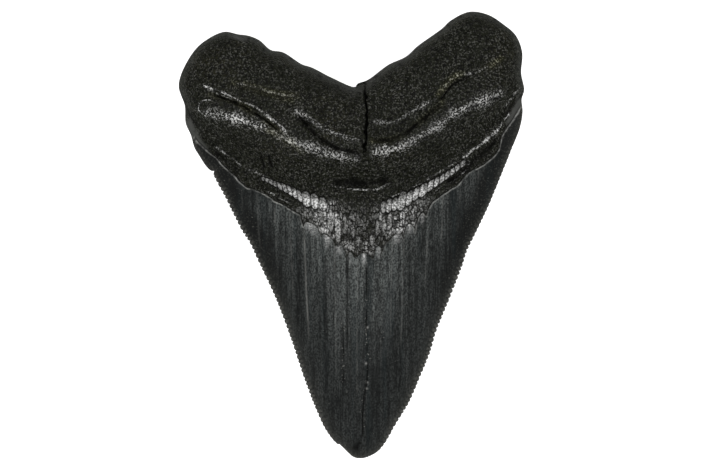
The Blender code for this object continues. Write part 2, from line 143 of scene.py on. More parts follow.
# Value noise from -1 to 1 on a seeded lattice; u and v are already divided by the grain size.
def softNoise(u, v, seed):
    column = np.floor(u).astype(int)
    row = np.floor(v).astype(int)
    values = np.random.RandomState(seed).uniform(-1.0, 1.0, (211, 223))
    fu = u - column
    fv = v - row
    fu = fu * fu * fu * (fu * (fu * 6.0 - 15.0) + 10.0)
    fv = fv * fv * fv * (fv * (fv * 6.0 - 15.0) + 10.0)
    corner = [values[(column + i) % 211, (row + j) % 223] for i, j in ((0, 0), (1, 0), (0, 1), (1, 1))]
    near = corner[0] + (corner[1] - corner[0]) * fu
    far = corner[2] + (corner[3] - corner[2]) * fu
    return near + (far - near) * fv


def layeredNoise(places, size, seed, layers=3):
    total = np.zeros(len(places))
    for k in range(layers):
        shift = 17.3 * k
        scale = 2.03**k / size
        total += 0.5**k * softNoise(places[:, 0] * scale + shift, places[:, 1] * scale - shift, seed + k)
    return total / (2.0 - 0.5 ** (layers - 1))


# Noise along a line, the same all across it.
def lineNoise(along, seed, row=0.0):
    return softNoise(along, np.full(len(along), float(row)), seed)


# Places moved a little by one noise across and one along, so that lines drawn through them waver.
def shaken(places, amount, sizes, seeds):
    moves = [layeredNoise(places, size, seed) for size, seed in zip(sizes, seeds)]
    return places + amount * np.column_stack(moves)


# Scattered cells: distance to the nearest seed, how much further the next one is, and a height for each cell.
def cellBumps(u, v, seed):
    chance = np.random.RandomState(seed)
    jitter = chance.uniform(0.12, 0.88, (197, 199, 2))
    tall = chance.uniform(0.0, 1.0, (197, 199))
    column = np.floor(u).astype(int)
    row = np.floor(v).astype(int)
    first = np.full(len(u), 9.0)
    second = np.full(len(u), 9.0)
    height = np.zeros(len(u))
    for i in (-1, 0, 1):
        for j in (-1, 0, 1):
            a = (column + i) % 197
            b = (row + j) % 199
            gap = np.hypot(column + i + jitter[a, b, 0] - u, row + j + jitter[a, b, 1] - v)
            closer = gap < first
            second = np.where(closer, first, np.minimum(second, gap))
            height = np.where(closer, tall[a, b], height)
            first = np.where(closer, gap, first)
    return first, second - first, height


# The outline seen from above, clockwise from the chip in the left flank.
toothOutline = {
    "root": [
        (-27.6, 12.9), (-28.1, 12.9), (-29.2, 13.9), (-30.5, 15.9), (-31.5, 17.6), (-32.2, 20.1),
        (-33.2, 22.4), (-33.4, 26.0), (-34.1, 27.9), (-34.6, 29.7), (-34.1, 32.3), (-31.5, 36.9),
        (-29.2, 39.0), (-25.5, 40.7), (-22.6, 40.2), (-20.5, 39.9), (-18.4, 39.0), (-16.2, 37.1),
        (-13.7, 36.6), (-9.9, 34.2), (-8.0, 33.6), (-4.1, 31.6), (0.7, 29.7), (1.1, 30.3), (3.2, 31.1),
        (7.3, 34.1), (10.9, 35.8), (13.1, 37.8), (18.1, 41.4), (19.7, 42.9), (23.5, 44.7),
        (27.3, 44.1), (30.2, 42.3), (32.8, 40.0), (34.1, 36.6), (33.9, 32.4), (34.5, 29.1),
        (34.0, 27.2), (34.2, 24.8), (33.7, 21.7), (32.2, 17.7),
    ],
    "rightEdge": [
        (28.8, 9.1), (27.2, 5.3), (25.3, 1.3), (23.1, -3.4), (22.1, -6.5), (19.6, -12.9), (17.0, -19.3),
        (15.8, -23.4), (13.5, -29.0), (11.6, -33.4), (9.0, -37.7), (6.4, -42.1),
    ],
    "tip": [(4.9, -43.6), (2.3, -44.7), (0.4, -44.5), (-0.7, -43.6)],
    "leftEdge": [
        (-2.4, -42.0), (-3.0, -41.8), (-5.3, -38.9), (-7.2, -34.9), (-9.4, -29.2), (-12.4, -20.3),
        (-15.2, -12.9), (-19.2, -4.3), (-20.5, -1.5), (-22.0, 0.8), (-25.4, 7.6), (-27.7, 12.2),
    ],
    "rootStep": 0.36,
    "tipStep": 0.2,
    "normalReach": 1.3,
}
serrations = {
    "pitch": 0.94,
    "depth": 0.3,
    "pointsEach": 8,
    "roundness": 0.6,
    "seed": 7,
    # Height above the middle of the tooth, and the part of the depth that wear has left there.
    "wornRight": [
        (20.0, 0.15), (14.0, 0.4), (3.0, 0.55), (-2.0, 1.0), (-8.0, 1.15), (-26.0, 0.9), (-40.0, 0.7),
        (-44.0, 0.2),
    ],
    "wornLeft": [(13.0, 1.0), (0.0, 1.0), (-10.0, 0.85), (-24.0, 0.9), (-36.0, 0.75), (-42.0, 0.25)],
    "beadHeight": 0.1,
    "beadReach": 0.8,
    "beadTop": 0.1,
    "beadFrom": 0.12,
}
rim = {
    "topRows": 12,
    "underRows": 8,
    "crownRows": 3,
    "topRound": 5.2,
    "underRound": 4.2,
    "lastAngle": 45.0,
    "crownOffsets": (0.16, 0.42, 0.8),
    "crownStepOn": 0.42,
    "insetKept": (0.8, 0.45, 0.15),
    "rootFrom": 19.0,
    "rootFully": 27.0,
    "wallRoughness": 0.16,
    "paleBand": (0.4, 1.8),
}

outlinePoints = toothOutline["root"] + toothOutline["rightEdge"]
outlinePoints += toothOutline["tip"] + toothOutline["leftEdge"]
outlineCurve, outlineArc, outlineStarts = curveThrough(outlinePoints, closed=True)
rightStart = len(toothOutline["root"]) - 1
tipStart = rightStart + 1 + len(toothOutline["rightEdge"])
leftStart = tipStart + len(toothOutline["tip"])
leftEnd = len(outlinePoints) - 1


# One cutting edge as (arc length, inset, bead): sharp notches with a rounded tooth between each two.
def serratedRun(start, end, worn, seed):
    chance = np.random.RandomState(seed)
    run = []
    where = start
    while where < end - serrations["pitch"]:
        pitch = serrations["pitch"] * chance.uniform(0.84, 1.16)
        place, _ = atArc(outlineCurve, outlineArc, where)
        depth = serrations["depth"] * chance.uniform(0.7, 1.3) * runThrough(place[:, 1], worn)[0]
        for k in range(serrations["pointsEach"]):
            phase = k / serrations["pointsEach"]
            bead = math.sin(math.pi * phase) ** serrations["roundness"]
            raised = (bead - 0.5) * depth / serrations["depth"]
            run.append((where + phase * pitch, depth * (1.0 - bead), raised))
        where += pitch
    run += [(place, 0.0, 0.0) for place in np.arange(where, end - 0.1, 0.2)]
    return run


def plainRun(start, end, step):
    count = max(2, math.ceil((end - start) / step))
    return [(place, 0.0, 0.0) for place in np.linspace(start, end, count, endpoint=False)]


rootFrom, rightFrom, tipFrom, leftFrom, leftTo = outlineStarts[[0, rightStart, tipStart, leftStart, leftEnd]]
ringRun = plainRun(rootFrom, rightFrom, toothOutline["rootStep"])
ringRun += serratedRun(rightFrom, tipFrom, serrations["wornRight"], serrations["seed"])
ringRun += plainRun(tipFrom, leftFrom, toothOutline["tipStep"])
ringRun += serratedRun(leftFrom, leftTo, serrations["wornLeft"], serrations["seed"] + 1)
ringRun += plainRun(leftTo, outlineArc[-1], toothOutline["tipStep"])
ringArc, ringInset, ringBead = np.array(ringRun).T
ringOnLine, ringNormal = atArc(outlineCurve, outlineArc, ringArc)
_, ringWideNormal = atArc(outlineCurve, outlineArc, ringArc, toothOutline["normalReach"])
ringCount = len(ringArc)
print("outline ready:", ringCount, "points round the edge")


# The two faces, in the forms of the frame's solid. Heights are given as (y, z), lines on the tooth as (x, y).
toothForm = {
    "edgeHeight": [(-45.0, 2.0), (-30.0, 2.4), (6.0, 2.6), (22.0, 4.8), (45.0, 5.6)],
    "crownRise": [
        (-45.0, 0.5), (-43.0, 1.7), (-38.0, 3.4), (-28.0, 5.9), (-16.0, 8.3), (-4.0, 10.1),
        (8.0, 11.0), (20.0, 11.4),
    ],
    "crownRoundness": 2.15,
    "marginWidth": 4.6,
    "marginGrooveDepth": 0.22,
    "marginGrooveWidth": 1.9,
    "rootCrest": [
        (-34.0, 26.0), (-30.0, 24.6), (-25.0, 22.8), (-20.0, 21.2), (-15.0, 19.2), (-10.0, 17.2),
        (-5.0, 16.0), (2.0, 15.2), (6.0, 16.4), (10.0, 18.0), (15.0, 21.2), (20.0, 24.4), (25.0, 26.8),
        (30.0, 28.2), (35.0, 29.0),
    ],
    "rootFoot": [
        (-34.0, 20.0), (-27.0, 16.6), (-20.0, 12.6), (-12.0, 8.8), (-4.0, 8.4), (2.0, 8.6), (9.0, 8.8),
        (15.0, 12.0), (20.0, 15.4), (26.0, 19.4), (30.0, 23.4), (35.0, 27.0),
    ],
    "crestHeight": 18.7,
    "crestRounding": 2.6,
    "fallAcross": 0.0062,
    "fallUpward": 0.15,
    "notchChip": (1.9, 30.3),
    "notchChipRadius": 1.5,
    "notchChipDepth": 4.0,
    "underMiddle": [
        (-45.0, 1.5), (-38.0, 1.0), (-26.0, 0.5), (-12.0, 0.1), (0.0, -0.25), (18.0, -0.25),
        (24.0, 0.1), (45.0, 0.9),
    ],
    "underRoundness": 2.4,
    "underRootHeight": 1.05,
    "underStepReach": (-1.5, 6.0),
    "underLipWidth": 0.35,
    "underLipHeight": 0.22,
    "underStriaHeight": 0.05,
    "underEnamelLine": [
        (-34.0, 19.4), (-22.0, 20.6), (-10.0, 20.2), (1.0, 18.8), (12.0, 20.4), (24.0, 21.4), (34.0, 21.6),
    ],
    "restCentre": (1.2, 10.5),
    "restRadii": (9.0, 10.0),
}


def edgeHeight(places):
    return runThrough(places[:, 1], toothForm["edgeHeight"])


# How far each place is from the crown's middle line: 0 there, 1 on a cutting edge. Half the width comes too.
def shareAcross(places):
    left = np.array(toothOutline["leftEdge"] + [(-32.0, 20.0), (-34.0, 30.0)])
    right = np.array(toothOutline["rightEdge"][::-1] + [(33.2, 20.0), (34.4, 30.0)])
    low = np.interp(places[:, 1], left[:, 1], left[:, 0])
    high = np.interp(places[:, 1], right[:, 1], right[:, 0])
    across = (2.0 * places[:, 0] - low - high) / (high - low)
    return np.clip(np.abs(across), 0.0, 1.0), (high - low) / 2.0


def roundedEdge(distance, radius):
    t = np.clip(distance / radius, 0.0, 1.0)
    return np.sqrt(1.0 - (1.0 - t) ** 2)


def upperForm(places, distance):
    base = edgeHeight(places)
    across, _ = shareAcross(places)
    y = places[:, 1]
    crown = base + runThrough(y, toothForm["crownRise"]) * (1.0 - across ** toothForm["crownRoundness"])
    grooved = (1.0 - smooth(y, 6.0, 16.0)) * smooth(y, -41.0, -34.0)
    groove = bell(distance, toothForm["marginWidth"], toothForm["marginGrooveWidth"])
    crown -= toothForm["marginGrooveDepth"] * grooved * groove
    crest = runThrough(places[:, 0], toothForm["rootCrest"])
    foot = runThrough(places[:, 0], toothForm["rootFoot"])
    inner = toothForm["crestHeight"] - toothForm["fallAcross"] * places[:, 0] ** 2
    inner -= toothForm["fallUpward"] * np.maximum(y - crest, 0.0)
    root = base + (inner - base) * roundedEdge(distance, rim["topRound"])
    rootShare = smooth(y, foot, crest + toothForm["crestRounding"])
    fromChip = np.linalg.norm(places - toothForm["notchChip"], axis=1)
    chip = toothForm["notchChipDepth"] * bell(fromChip, 0.0, toothForm["notchChipRadius"], 4)
    return crown + (root - crown) * rootShare - chip, rootShare


def underForm(places, distance):
    base = edgeHeight(places)
    across, _ = shareAcross(places)
    middle = runThrough(places[:, 1], toothForm["underMiddle"])
    crown = base - (base - middle) * (1.0 - across ** toothForm["underRoundness"])
    line = runThrough(places[:, 0], toothForm["underEnamelLine"])
    root = base - (base - toothForm["underRootHeight"]) * roundedEdge(distance, rim["underRound"])
    rootShare = smooth(places[:, 1] - line, *toothForm["underStepReach"])
    return crown + (root - crown) * rootShare, smooth(places[:, 1] - line, -0.3, 0.3)


# Folds of the root, each as (line, half width, height, fade at the ends); a groove is below zero.
rootFolds = {
    "leftUpperRidge": ([
        (-30.5, 30.3), (-29.1, 29.7), (-27.6, 29.0), (-24.9, 28.0), (-22.3, 26.7), (-19.9, 25.7),
        (-17.2, 24.1), (-15.8, 22.9), (-14.0, 21.5), (-12.2, 19.5)], 0.26, 0.34, 1.5),
    "leftUpperTwin": ([(-29.3, 29.4), (-27.5, 28.5), (-25.3, 27.5), (-23.3, 26.9)], 0.22, 0.24, 1.0),
    "leftUpperGroove": ([
        (-28.1, 28.1), (-25.3, 27.1), (-23.5, 26.5), (-21.1, 25.3), (-18.7, 23.9), (-16.7, 22.5),
        (-14.9, 21.0), (-13.1, 19.5), (-11.7, 18.5)], 0.26, -0.62, 2.0),
    "leftOliveRidge": ([
        (-23.5, 30.3), (-20.9, 29.7), (-18.3, 29.1), (-16.9, 28.6), (-14.5, 28.0),
        (-10.7, 27.4)], 0.26, 0.24, 1.5),
    "leftOliveGroove": ([
        (-22.7, 29.7), (-19.9, 29.0), (-17.1, 28.1), (-14.5, 27.4), (-11.9, 26.8)], 0.22, -0.24, 1.5),
    "leftInnerCrest": ([
        (-12.3, 25.4), (-9.1, 23.4), (-6.1, 21.5), (-3.0, 19.9), (-0.4, 19.1),
        (2.3, 18.8)], 0.75, 0.5, 1.5),
    "leftInnerGroove": ([
        (-10.9, 24.1), (-9.4, 22.5), (-7.9, 20.7), (-5.5, 18.7), (-3.0, 17.3), (-0.4, 16.6),
        (2.1, 15.9)], 0.4, -0.7, 1.8),
    "leftCrest": ([
        (-30.3, 24.9), (-27.7, 24.2), (-22.9, 23.1), (-19.3, 21.9), (-16.3, 20.9), (-13.3, 19.5),
        (-10.3, 17.9), (-6.7, 16.9), (-3.9, 15.9), (-0.3, 15.3), (2.5, 14.5)], 1.2, 0.5, 2.0),
    "leftCrestHem": ([(-16.7, 20.9), (-13.8, 19.4), (-11.7, 18.0), (-9.5, 16.4)], 0.2, 0.22, 1.0),
    "leftCurl": ([
        (-27.5, 26.6), (-29.1, 26.8), (-30.1, 26.3), (-30.4, 25.3), (-29.9, 24.3),
        (-28.5, 23.4)], 0.2, 0.24, 0.8),
    "leftFlankGroove": ([
        (-33.6, 27.5), (-32.9, 25.5), (-31.7, 23.1), (-30.1, 20.9), (-28.5, 19.1),
        (-26.7, 17.3)], 0.26, -0.26, 1.5),
    "rightUpperRidge": ([
        (3.6, 22.5), (5.9, 22.3), (8.4, 22.3), (11.0, 24.0), (14.1, 25.7),
        (17.1, 27.2)], 0.5, 0.42, 1.2),
    "rightCrease": ([
        (17.3, 26.3), (18.7, 28.3), (20.0, 29.7), (21.5, 30.7), (23.5, 31.5)], 0.26, -0.75, 1.2),
    "rightUpperTail": ([
        (17.1, 27.9), (18.3, 29.4), (19.7, 30.8), (21.5, 31.8), (24.3, 32.1), (27.4, 33.7),
        (29.7, 35.1)], 0.3, 0.17, 1.5),
    "rightTrough": ([
        (4.1, 18.7), (7.1, 18.9), (9.9, 19.7), (11.9, 21.1), (14.1, 22.9), (16.1, 24.7),
        (17.9, 26.3)], 0.42, -0.62, 1.5),
    "rightCrest": ([
        (2.9, 15.9), (5.7, 16.7), (8.7, 17.1), (11.1, 18.1), (14.1, 19.9), (17.1, 21.7), (19.7, 23.7),
        (23.3, 25.5), (25.7, 26.5), (28.5, 27.7), (31.1, 28.7)], 1.15, 0.5, 2.0),
    "rightCrestGroove": ([(22.1, 24.7), (24.6, 25.7), (27.1, 26.7), (29.9, 27.6)], 0.24, -0.36, 1.2),
    "rightFlankA": ([(33.8, 29.9), (32.5, 28.3), (31.5, 26.9), (30.3, 25.2)], 0.2, 0.2, 0.8),
    "rightFlankB": ([(34.1, 28.5), (32.9, 26.9), (31.5, 25.4), (29.9, 23.6)], 0.22, -0.26, 0.8),
    "striaA": ([(-18.1, 17.1), (-17.7, 15.1), (-17.3, 12.7)], 0.26, -0.4, 1.0),
    "striaB": ([(-16.7, 16.5), (-16.1, 14.7), (-15.3, 12.9)], 0.24, -0.36, 1.0),
    "striaC": ([(-14.9, 15.9), (-14.5, 14.5), (-14.3, 13.1)], 0.18, -0.2, 0.8),
    "leftBorder": ([(-27.5, 18.1), (-25.1, 16.1), (-23.5, 15.1), (-21.7, 13.6)], 0.24, 0.28, 0.8),
    "leftBorderGroove": ([(-27.6, 17.2), (-25.6, 15.3), (-23.9, 14.1), (-22.2, 12.6)], 0.3, -0.45, 0.8),
    "leftLipTwin": ([
        (-17.4, 9.0), (-15.7, 8.2), (-14.1, 7.3), (-12.6, 6.5), (-11.2, 5.7)], 0.2, 0.2, 0.8),
    "leftScaleTop": ([
        (-21.7, 13.5), (-18.6, 12.4), (-15.6, 10.9), (-13.3, 9.8), (-10.9, 8.7),
        (-7.9, 7.3)], 0.22, 0.2, 0.8),
    "rightBorder": ([
        (31.9, 24.7), (30.4, 23.2), (29.7, 21.9), (28.5, 20.6), (27.4, 19.4), (25.4, 18.0),
        (23.3, 16.3), (21.7, 15.1)], 0.34, 0.42, 1.0),
    "rightSlot": ([
        (29.2, 19.6), (27.6, 17.6), (25.2, 15.6), (23.0, 13.4), (20.6, 11.6),
        (18.2, 10.2)], 0.6, -0.5, 1.5),
    "rightScaleTop": ([
        (21.7, 15.3), (18.7, 13.4), (15.7, 11.5), (12.7, 9.8), (9.7, 8.4),
        (7.3, 7.3)], 0.22, 0.2, 0.8),
    "rightInnerLine": ([
        (23.5, 15.5), (23.1, 13.4), (20.7, 11.2), (18.7, 10.1), (16.9, 9.0), (15.4, 7.1),
        (14.3, 4.7)], 0.2, 0.22, 0.8),
    "hollow": ([
        (-4.1, 10.3), (-1.9, 10.6), (0.5, 10.4), (2.9, 10.3), (5.3, 10.6),
        (7.7, 11.2)], 0.8, -0.85, 1.5),
    "lip": ([
        (-4.5, 9.8), (-2.9, 9.7), (-1.1, 9.3), (1.5, 9.0), (3.7, 9.0), (5.9, 9.5),
        (7.9, 10.5)], 0.26, 0.4, 0.8),
}
crack = {
    "line": [
        (3.1, 30.6), (2.9, 28.7), (2.9, 27.6), (2.7, 25.8), (2.8, 24.0), (3.1, 22.0), (2.9, 19.9),
        (2.7, 18.4), (2.5, 16.9), (2.4, 15.2),
    ],
    "halfWidth": 0.3,
    "depth": 1.7,
    "sideStep": 0.45,
    "sideStepReach": 3.5,
}
# Folds with olive matrix beside them.
oliveFolds = [
    "leftOliveRidge", "leftOliveGroove", "leftCrestHem", "leftUpperGroove", "rightUpperTail", "rightTrough",
]


# The part of the places within reach of a line, with their distance, arc length, signed distance and length.
def besideLine(places, line, reach):
    curve, arc, _ = curveThrough(line)
    low = curve.min(axis=0) - reach
    high = curve.max(axis=0) + reach
    picked = np.nonzero(((places > low) & (places < high)).all(axis=1))[0]
    if len(picked) == 0:
        return picked, picked, picked, picked, arc[-1]
    distance, along, signed = nearestOn(places[picked], curve, arc)
    return picked, distance, along, signed, arc[-1]


def foldRelief(places):
    relief = np.zeros(len(places))
    hollow = np.zeros(len(places))
    worn = np.zeros(len(places))
    sheen = np.zeros(len(places))
    olive = np.zeros(len(places))
    for number, (name, (line, halfWidth, height, fade)) in enumerate(rootFolds.items()):
        picked, distance, along, _, length = besideLine(places, line, 3.5 * halfWidth)
        width = halfWidth * (0.9 + 0.35 * lineNoise(along / 1.9, 33, number))
        strength = 0.9 + 0.3 * lineNoise(along / 1.3, 34, number)
        broken = np.clip(0.95 + 0.6 * lineNoise(along / 0.45, 35, number), 0.3, 1.1)
        body = faded(along, length, fade) * bell(distance, 0.0, width) * strength
        relief[picked] += height * body
        # A groove is painted dark as shade; a ridge gets painted glints along it.
        if height < 0.0:
            hollow[picked] = np.maximum(hollow[picked], body * min(1.0, -2.4 * height))
        else:
            rubbed = broken * min(1.0, height / 0.3) if halfWidth < 0.4 else 0.56
            worn[picked] = np.maximum(worn[picked], rubbed * body)
        if name in oliveFolds:
            nearby, aside, _, _, _ = besideLine(places, line, 2.0)
            olive[nearby] = np.maximum(olive[nearby], bell(aside, 0.0, 0.6))
        if halfWidth > 1.0:  # the two broad crests get a painted sheen well beyond their tops
            picked, distance, along, _, length = besideLine(places, line, 6.5)
            sheen[picked] = np.maximum(sheen[picked], faded(along, length, 3.0) * bell(distance, 0.0, 2.3))
    worn = np.clip(worn + 0.15 * sheen, 0.0, 1.0)
    olive *= np.clip(0.5 + 0.7 * layeredNoise(places, 2.6, 36, 2), 0.0, 1.0)
    return relief, hollow, worn * (1.0 - 0.1 * smooth(places[:, 0], 2.0, 8.0)), olive


def crackRelief(places):
    relief = np.zeros(len(places))
    hollow = np.zeros(len(places))
    jagged = places.copy()
    jagged[:, 0] += 0.11 * lineNoise(places[:, 1] / 0.7, 29) + 0.3 * lineNoise(places[:, 1] / 1.9, 30)
    picked, distance, along, signed, length = besideLine(jagged, crack["line"], 4.0 * crack["sideStepReach"])
    wander = 0.8 + 0.45 * lineNoise(along / 0.8, 31)
    body = smooth(length - along, 0.0, 3.0) * bell(distance, 0.0, crack["halfWidth"] * wander, 4)
    step = crack["sideStep"] * (1.0 - smooth(along, 1.0, 9.0)) * np.exp(-distance / crack["sideStepReach"])
    relief[picked] = np.where(signed > 0.0, step, 0.0) - crack["depth"] * body
    # The crack is painted dark as shade.
    hollow[picked] = body
    return relief, hollow


# The scaled band between root and crown.
bourlette = {
    # Scales as (x, y, half width, half length, lean to the right in degrees, height).
    "scales": [
        (-17.6, 11.3, 0.42, 0.5, -55, 0.14), (-16.8, 11.0, 0.42, 0.6, -54, 0.18),
        (-16.0, 10.6, 0.42, 0.8, -52, 0.2), (-15.2, 10.2, 0.44, 0.9, -50, 0.22),
        (-14.3, 9.8, 0.5, 1.05, -46, 0.26), (-13.3, 9.4, 0.54, 1.2, -42, 0.28),
        (-12.3, 8.9, 0.56, 1.3, -36, 0.3), (-11.3, 8.4, 0.58, 1.35, -30, 0.32),
        (-10.35, 7.85, 0.52, 1.35, -24, 0.32), (-9.0, 7.2, 0.88, 1.65, -16, 0.38),
        (-7.35, 6.75, 0.86, 1.6, -12, 0.38), (-5.75, 6.25, 0.82, 1.4, -10, 0.34),
        (6.3, 5.6, 0.56, 1.2, 4, 0.2), (7.4, 5.9, 0.6, 1.5, 8, 0.3), (8.55, 6.2, 0.62, 1.4, 12, 0.32),
        (9.95, 6.8, 0.84, 2.0, 16, 0.4), (11.45, 7.4, 0.7, 1.65, 20, 0.36),
        (12.75, 8.25, 0.68, 1.55, 26, 0.34), (14.2, 9.0, 0.84, 1.6, 34, 0.34),
        (15.65, 9.9, 0.68, 1.5, 38, 0.32), (16.85, 10.6, 0.62, 1.4, 41, 0.3),
        (17.95, 11.3, 0.58, 1.35, 43, 0.28), (19.0, 12.0, 0.56, 1.25, 44, 0.26),
        (20.0, 12.7, 0.54, 1.15, 45, 0.24), (21.0, 13.45, 0.52, 1.05, 46, 0.22),
        (22.0, 14.2, 0.5, 0.95, 46, 0.2),
    ],
    # Long drips below them.
    "drips": [
        (-7.2, 4.1, 0.42, 0.7, -8, 0.16), (-5.7, 3.6, 0.74, 1.7, -4, 0.3), (-4.25, 2.9, 0.62, 2.3, -2, 0.3),
        (-2.75, 1.5, 0.7, 3.2, -3, 0.3), (-1.3, 2.2, 0.44, 2.0, 0, 0.2), (0.2, 0.8, 0.4, 1.3, 0, 0.16),
        (1.2, -1.2, 0.5, 1.2, 2, 0.18), (4.0, -1.0, 0.5, 1.2, -2, 0.18), (5.1, 1.6, 0.4, 1.7, 2, 0.18),
        (6.3, 2.3, 0.44, 1.6, 4, 0.2), (7.6, 2.7, 0.5, 1.6, 8, 0.22), (9.2, 0.9, 0.66, 0.6, 0, 0.3),
    ],
    "gap": 0.085,
    # Net of small cells between the scales and the enamel: their width, and their height above and below y 0.
    "netSize": (0.56, 1.5, 0.95),
    "netHeight": 0.2,
    "netMiddle": 2.4,
    "netReach": 12.5,
    "netTop": [
        (-18.0, 11.4), (-12.0, 8.8), (-9.0, 7.2), (-5.7, 7.0), (-3.6, 7.0), (0.0, 6.2), (4.0, 6.0),
        (6.6, 6.4), (8.6, 6.2), (11.4, 7.4), (16.8, 10.6), (22.0, 14.2),
    ],
    # How much painted highlight the net gets at least, and where it gets more, as (x, y, half width, half
    # height, share).
    "netDull": 0.1,
    "netBright": [
        (-5.0, 3.0, 3.6, 4.4, 1.0), (9.6, 3.6, 4.6, 4.0, 1.0), (-0.6, -2.4, 2.4, 1.6, 0.45),
        (3.6, -2.4, 1.8, 1.6, 0.5), (0.2, 2.4, 3.4, 2.4, 0.34), (14.5, 6.0, 4.0, 1.8, 0.7),
        (-9.5, 4.6, 3.2, 1.6, 0.6),
    ],
}
enamelEdge = {
    # From the left flank to the right one, with rounded fingers and sharp notches in the middle.
    "line": [
        (-31.7, 19.9), (-30.5, 18.5), (-28.9, 16.9), (-26.9, 15.4), (-25.6, 13.9), (-23.3, 11.8),
        (-21.3, 9.8), (-18.6, 8.8), (-16.3, 7.5), (-14.8, 6.6), (-13.3, 5.9), (-11.3, 4.7),
        (-10.2, 3.9), (-9.9, 2.6), (-9.6, 1.8), (-9.2, 2.5), (-8.2, 2.6), (-7.1, 1.9), (-6.4, 0.9),
        (-6.0, -0.4), (-5.6, 0.3), (-4.6, -0.1), (-3.6, -1.1), (-3.1, -2.1), (-2.7, -1.7),
        (-2.0, -2.1), (-1.4, -3.3), (-1.1, -4.7), (-0.7, -3.6), (0.0, -3.3), (0.5, -4.3), (1.2, -4.1),
        (2.0, -3.5), (2.8, -3.5), (3.6, -4.3), (4.1, -4.7), (4.4, -3.7), (5.1, -2.3), (5.7, -2.5),
        (6.0, -3.7), (6.3, -2.5), (7.3, -1.1), (8.3, -0.1), (9.1, 0.7), (9.8, 0.5), (10.3, -0.7),
        (10.5, 0.5), (11.0, 1.9), (11.7, 2.3), (12.3, 1.5), (12.5, 0.5), (12.8, 2.3), (13.5, 3.9),
        (14.2, 4.5), (14.8, 3.8), (15.3, 5.2), (16.1, 6.5), (17.1, 7.4), (19.3, 8.9), (20.9, 9.9),
        (23.3, 12.4), (25.9, 13.9), (27.9, 15.4), (29.4, 17.3), (29.8, 19.3), (30.7, 21.0),
        (32.3, 23.3), (33.8, 25.7),
    ],
    "fingersMiddle": 1.5,
    "fingersReach": 11.0,
    "step": 0.2,
    "lip": 0.2,
    "lipPlace": -0.13,
    "lipWidth": 0.12,
    "gapPlace": 0.12,
    "gapWidth": 0.13,
    "gapDepth": 0.2,
    # Rounded tops of the fingers, painted bright as highlights, as (x, y, half width).
    "fingerTops": [
        (-8.3, 2.3, 0.7), (-7.2, 1.6, 0.5), (-4.9, -0.4, 0.6), (-2.6, -2.2, 0.6), (-0.3, -3.6, 0.26),
        (2.4, -3.9, 0.3), (5.4, -2.5, 0.55), (8.9, 0.2, 0.7), (11.4, 2.0, 0.5), (13.9, 4.0, 0.45),
    ],
    "topReach": 2.6,
}


# Domed scales or drips with a gap round each, also where two meet: the relief, the gap painted dark as shade,
# the share that is on a dome and its painted highlight.
def domes(places, items, gap):
    first = np.full(len(places), 9.0)
    second = np.full(len(places), 9.0)
    height = np.zeros(len(places))
    bright = np.zeros(len(places))
    breadth = np.full(len(places), 1.0)
    for x, y, halfWidth, halfLength, lean, tall in items:
        reach = 1.5 * max(halfWidth, halfLength) + gap
        picked = np.nonzero((np.abs(places - (x, y)) < reach).all(axis=1))[0]
        turn = math.radians(lean)
        offset = places[picked] - (x, y)
        u = (offset[:, 0] * math.cos(turn) - offset[:, 1] * math.sin(turn)) / halfWidth
        v = (offset[:, 0] * math.sin(turn) + offset[:, 1] * math.cos(turn)) / halfLength
        radius = (np.abs(u) ** 2.6 + np.abs(v) ** 2.6) ** (1 / 2.6)
        closer = radius < first[picked]
        second[picked] = np.where(closer, first[picked], np.minimum(second[picked], radius))
        height[picked] = np.where(closer, tall * (1.0 - 0.7 * smooth(v, 0.1, 1.0)), height[picked])
        lit = min(1.0, 0.32 + 2.1 * tall) * (1.0 - 0.55 * smooth(v, 0.0, 0.9))
        bright[picked] = np.where(closer, lit, bright[picked])
        breadth[picked] = np.where(closer, halfWidth, breadth[picked])
        first[picked] = np.where(closer, radius, first[picked])
    between = (second - first) * breadth
    apart = smooth(between, 0.2 * gap, 1.4 * gap)
    dome = height * np.clip(1.0 - first**3.2, 0.0, 1.0) ** 0.6 * (0.35 + 0.65 * apart)
    around = np.exp(-(((first - 1.04) * breadth / gap) ** 2))
    hollow = np.maximum(around, (1.0 - apart) * (first < 1.05))
    dome -= 0.16 * hollow
    return dome, hollow, smooth(1.0 - first, -0.03, 0.12), bright * (0.2 + 0.8 * apart)


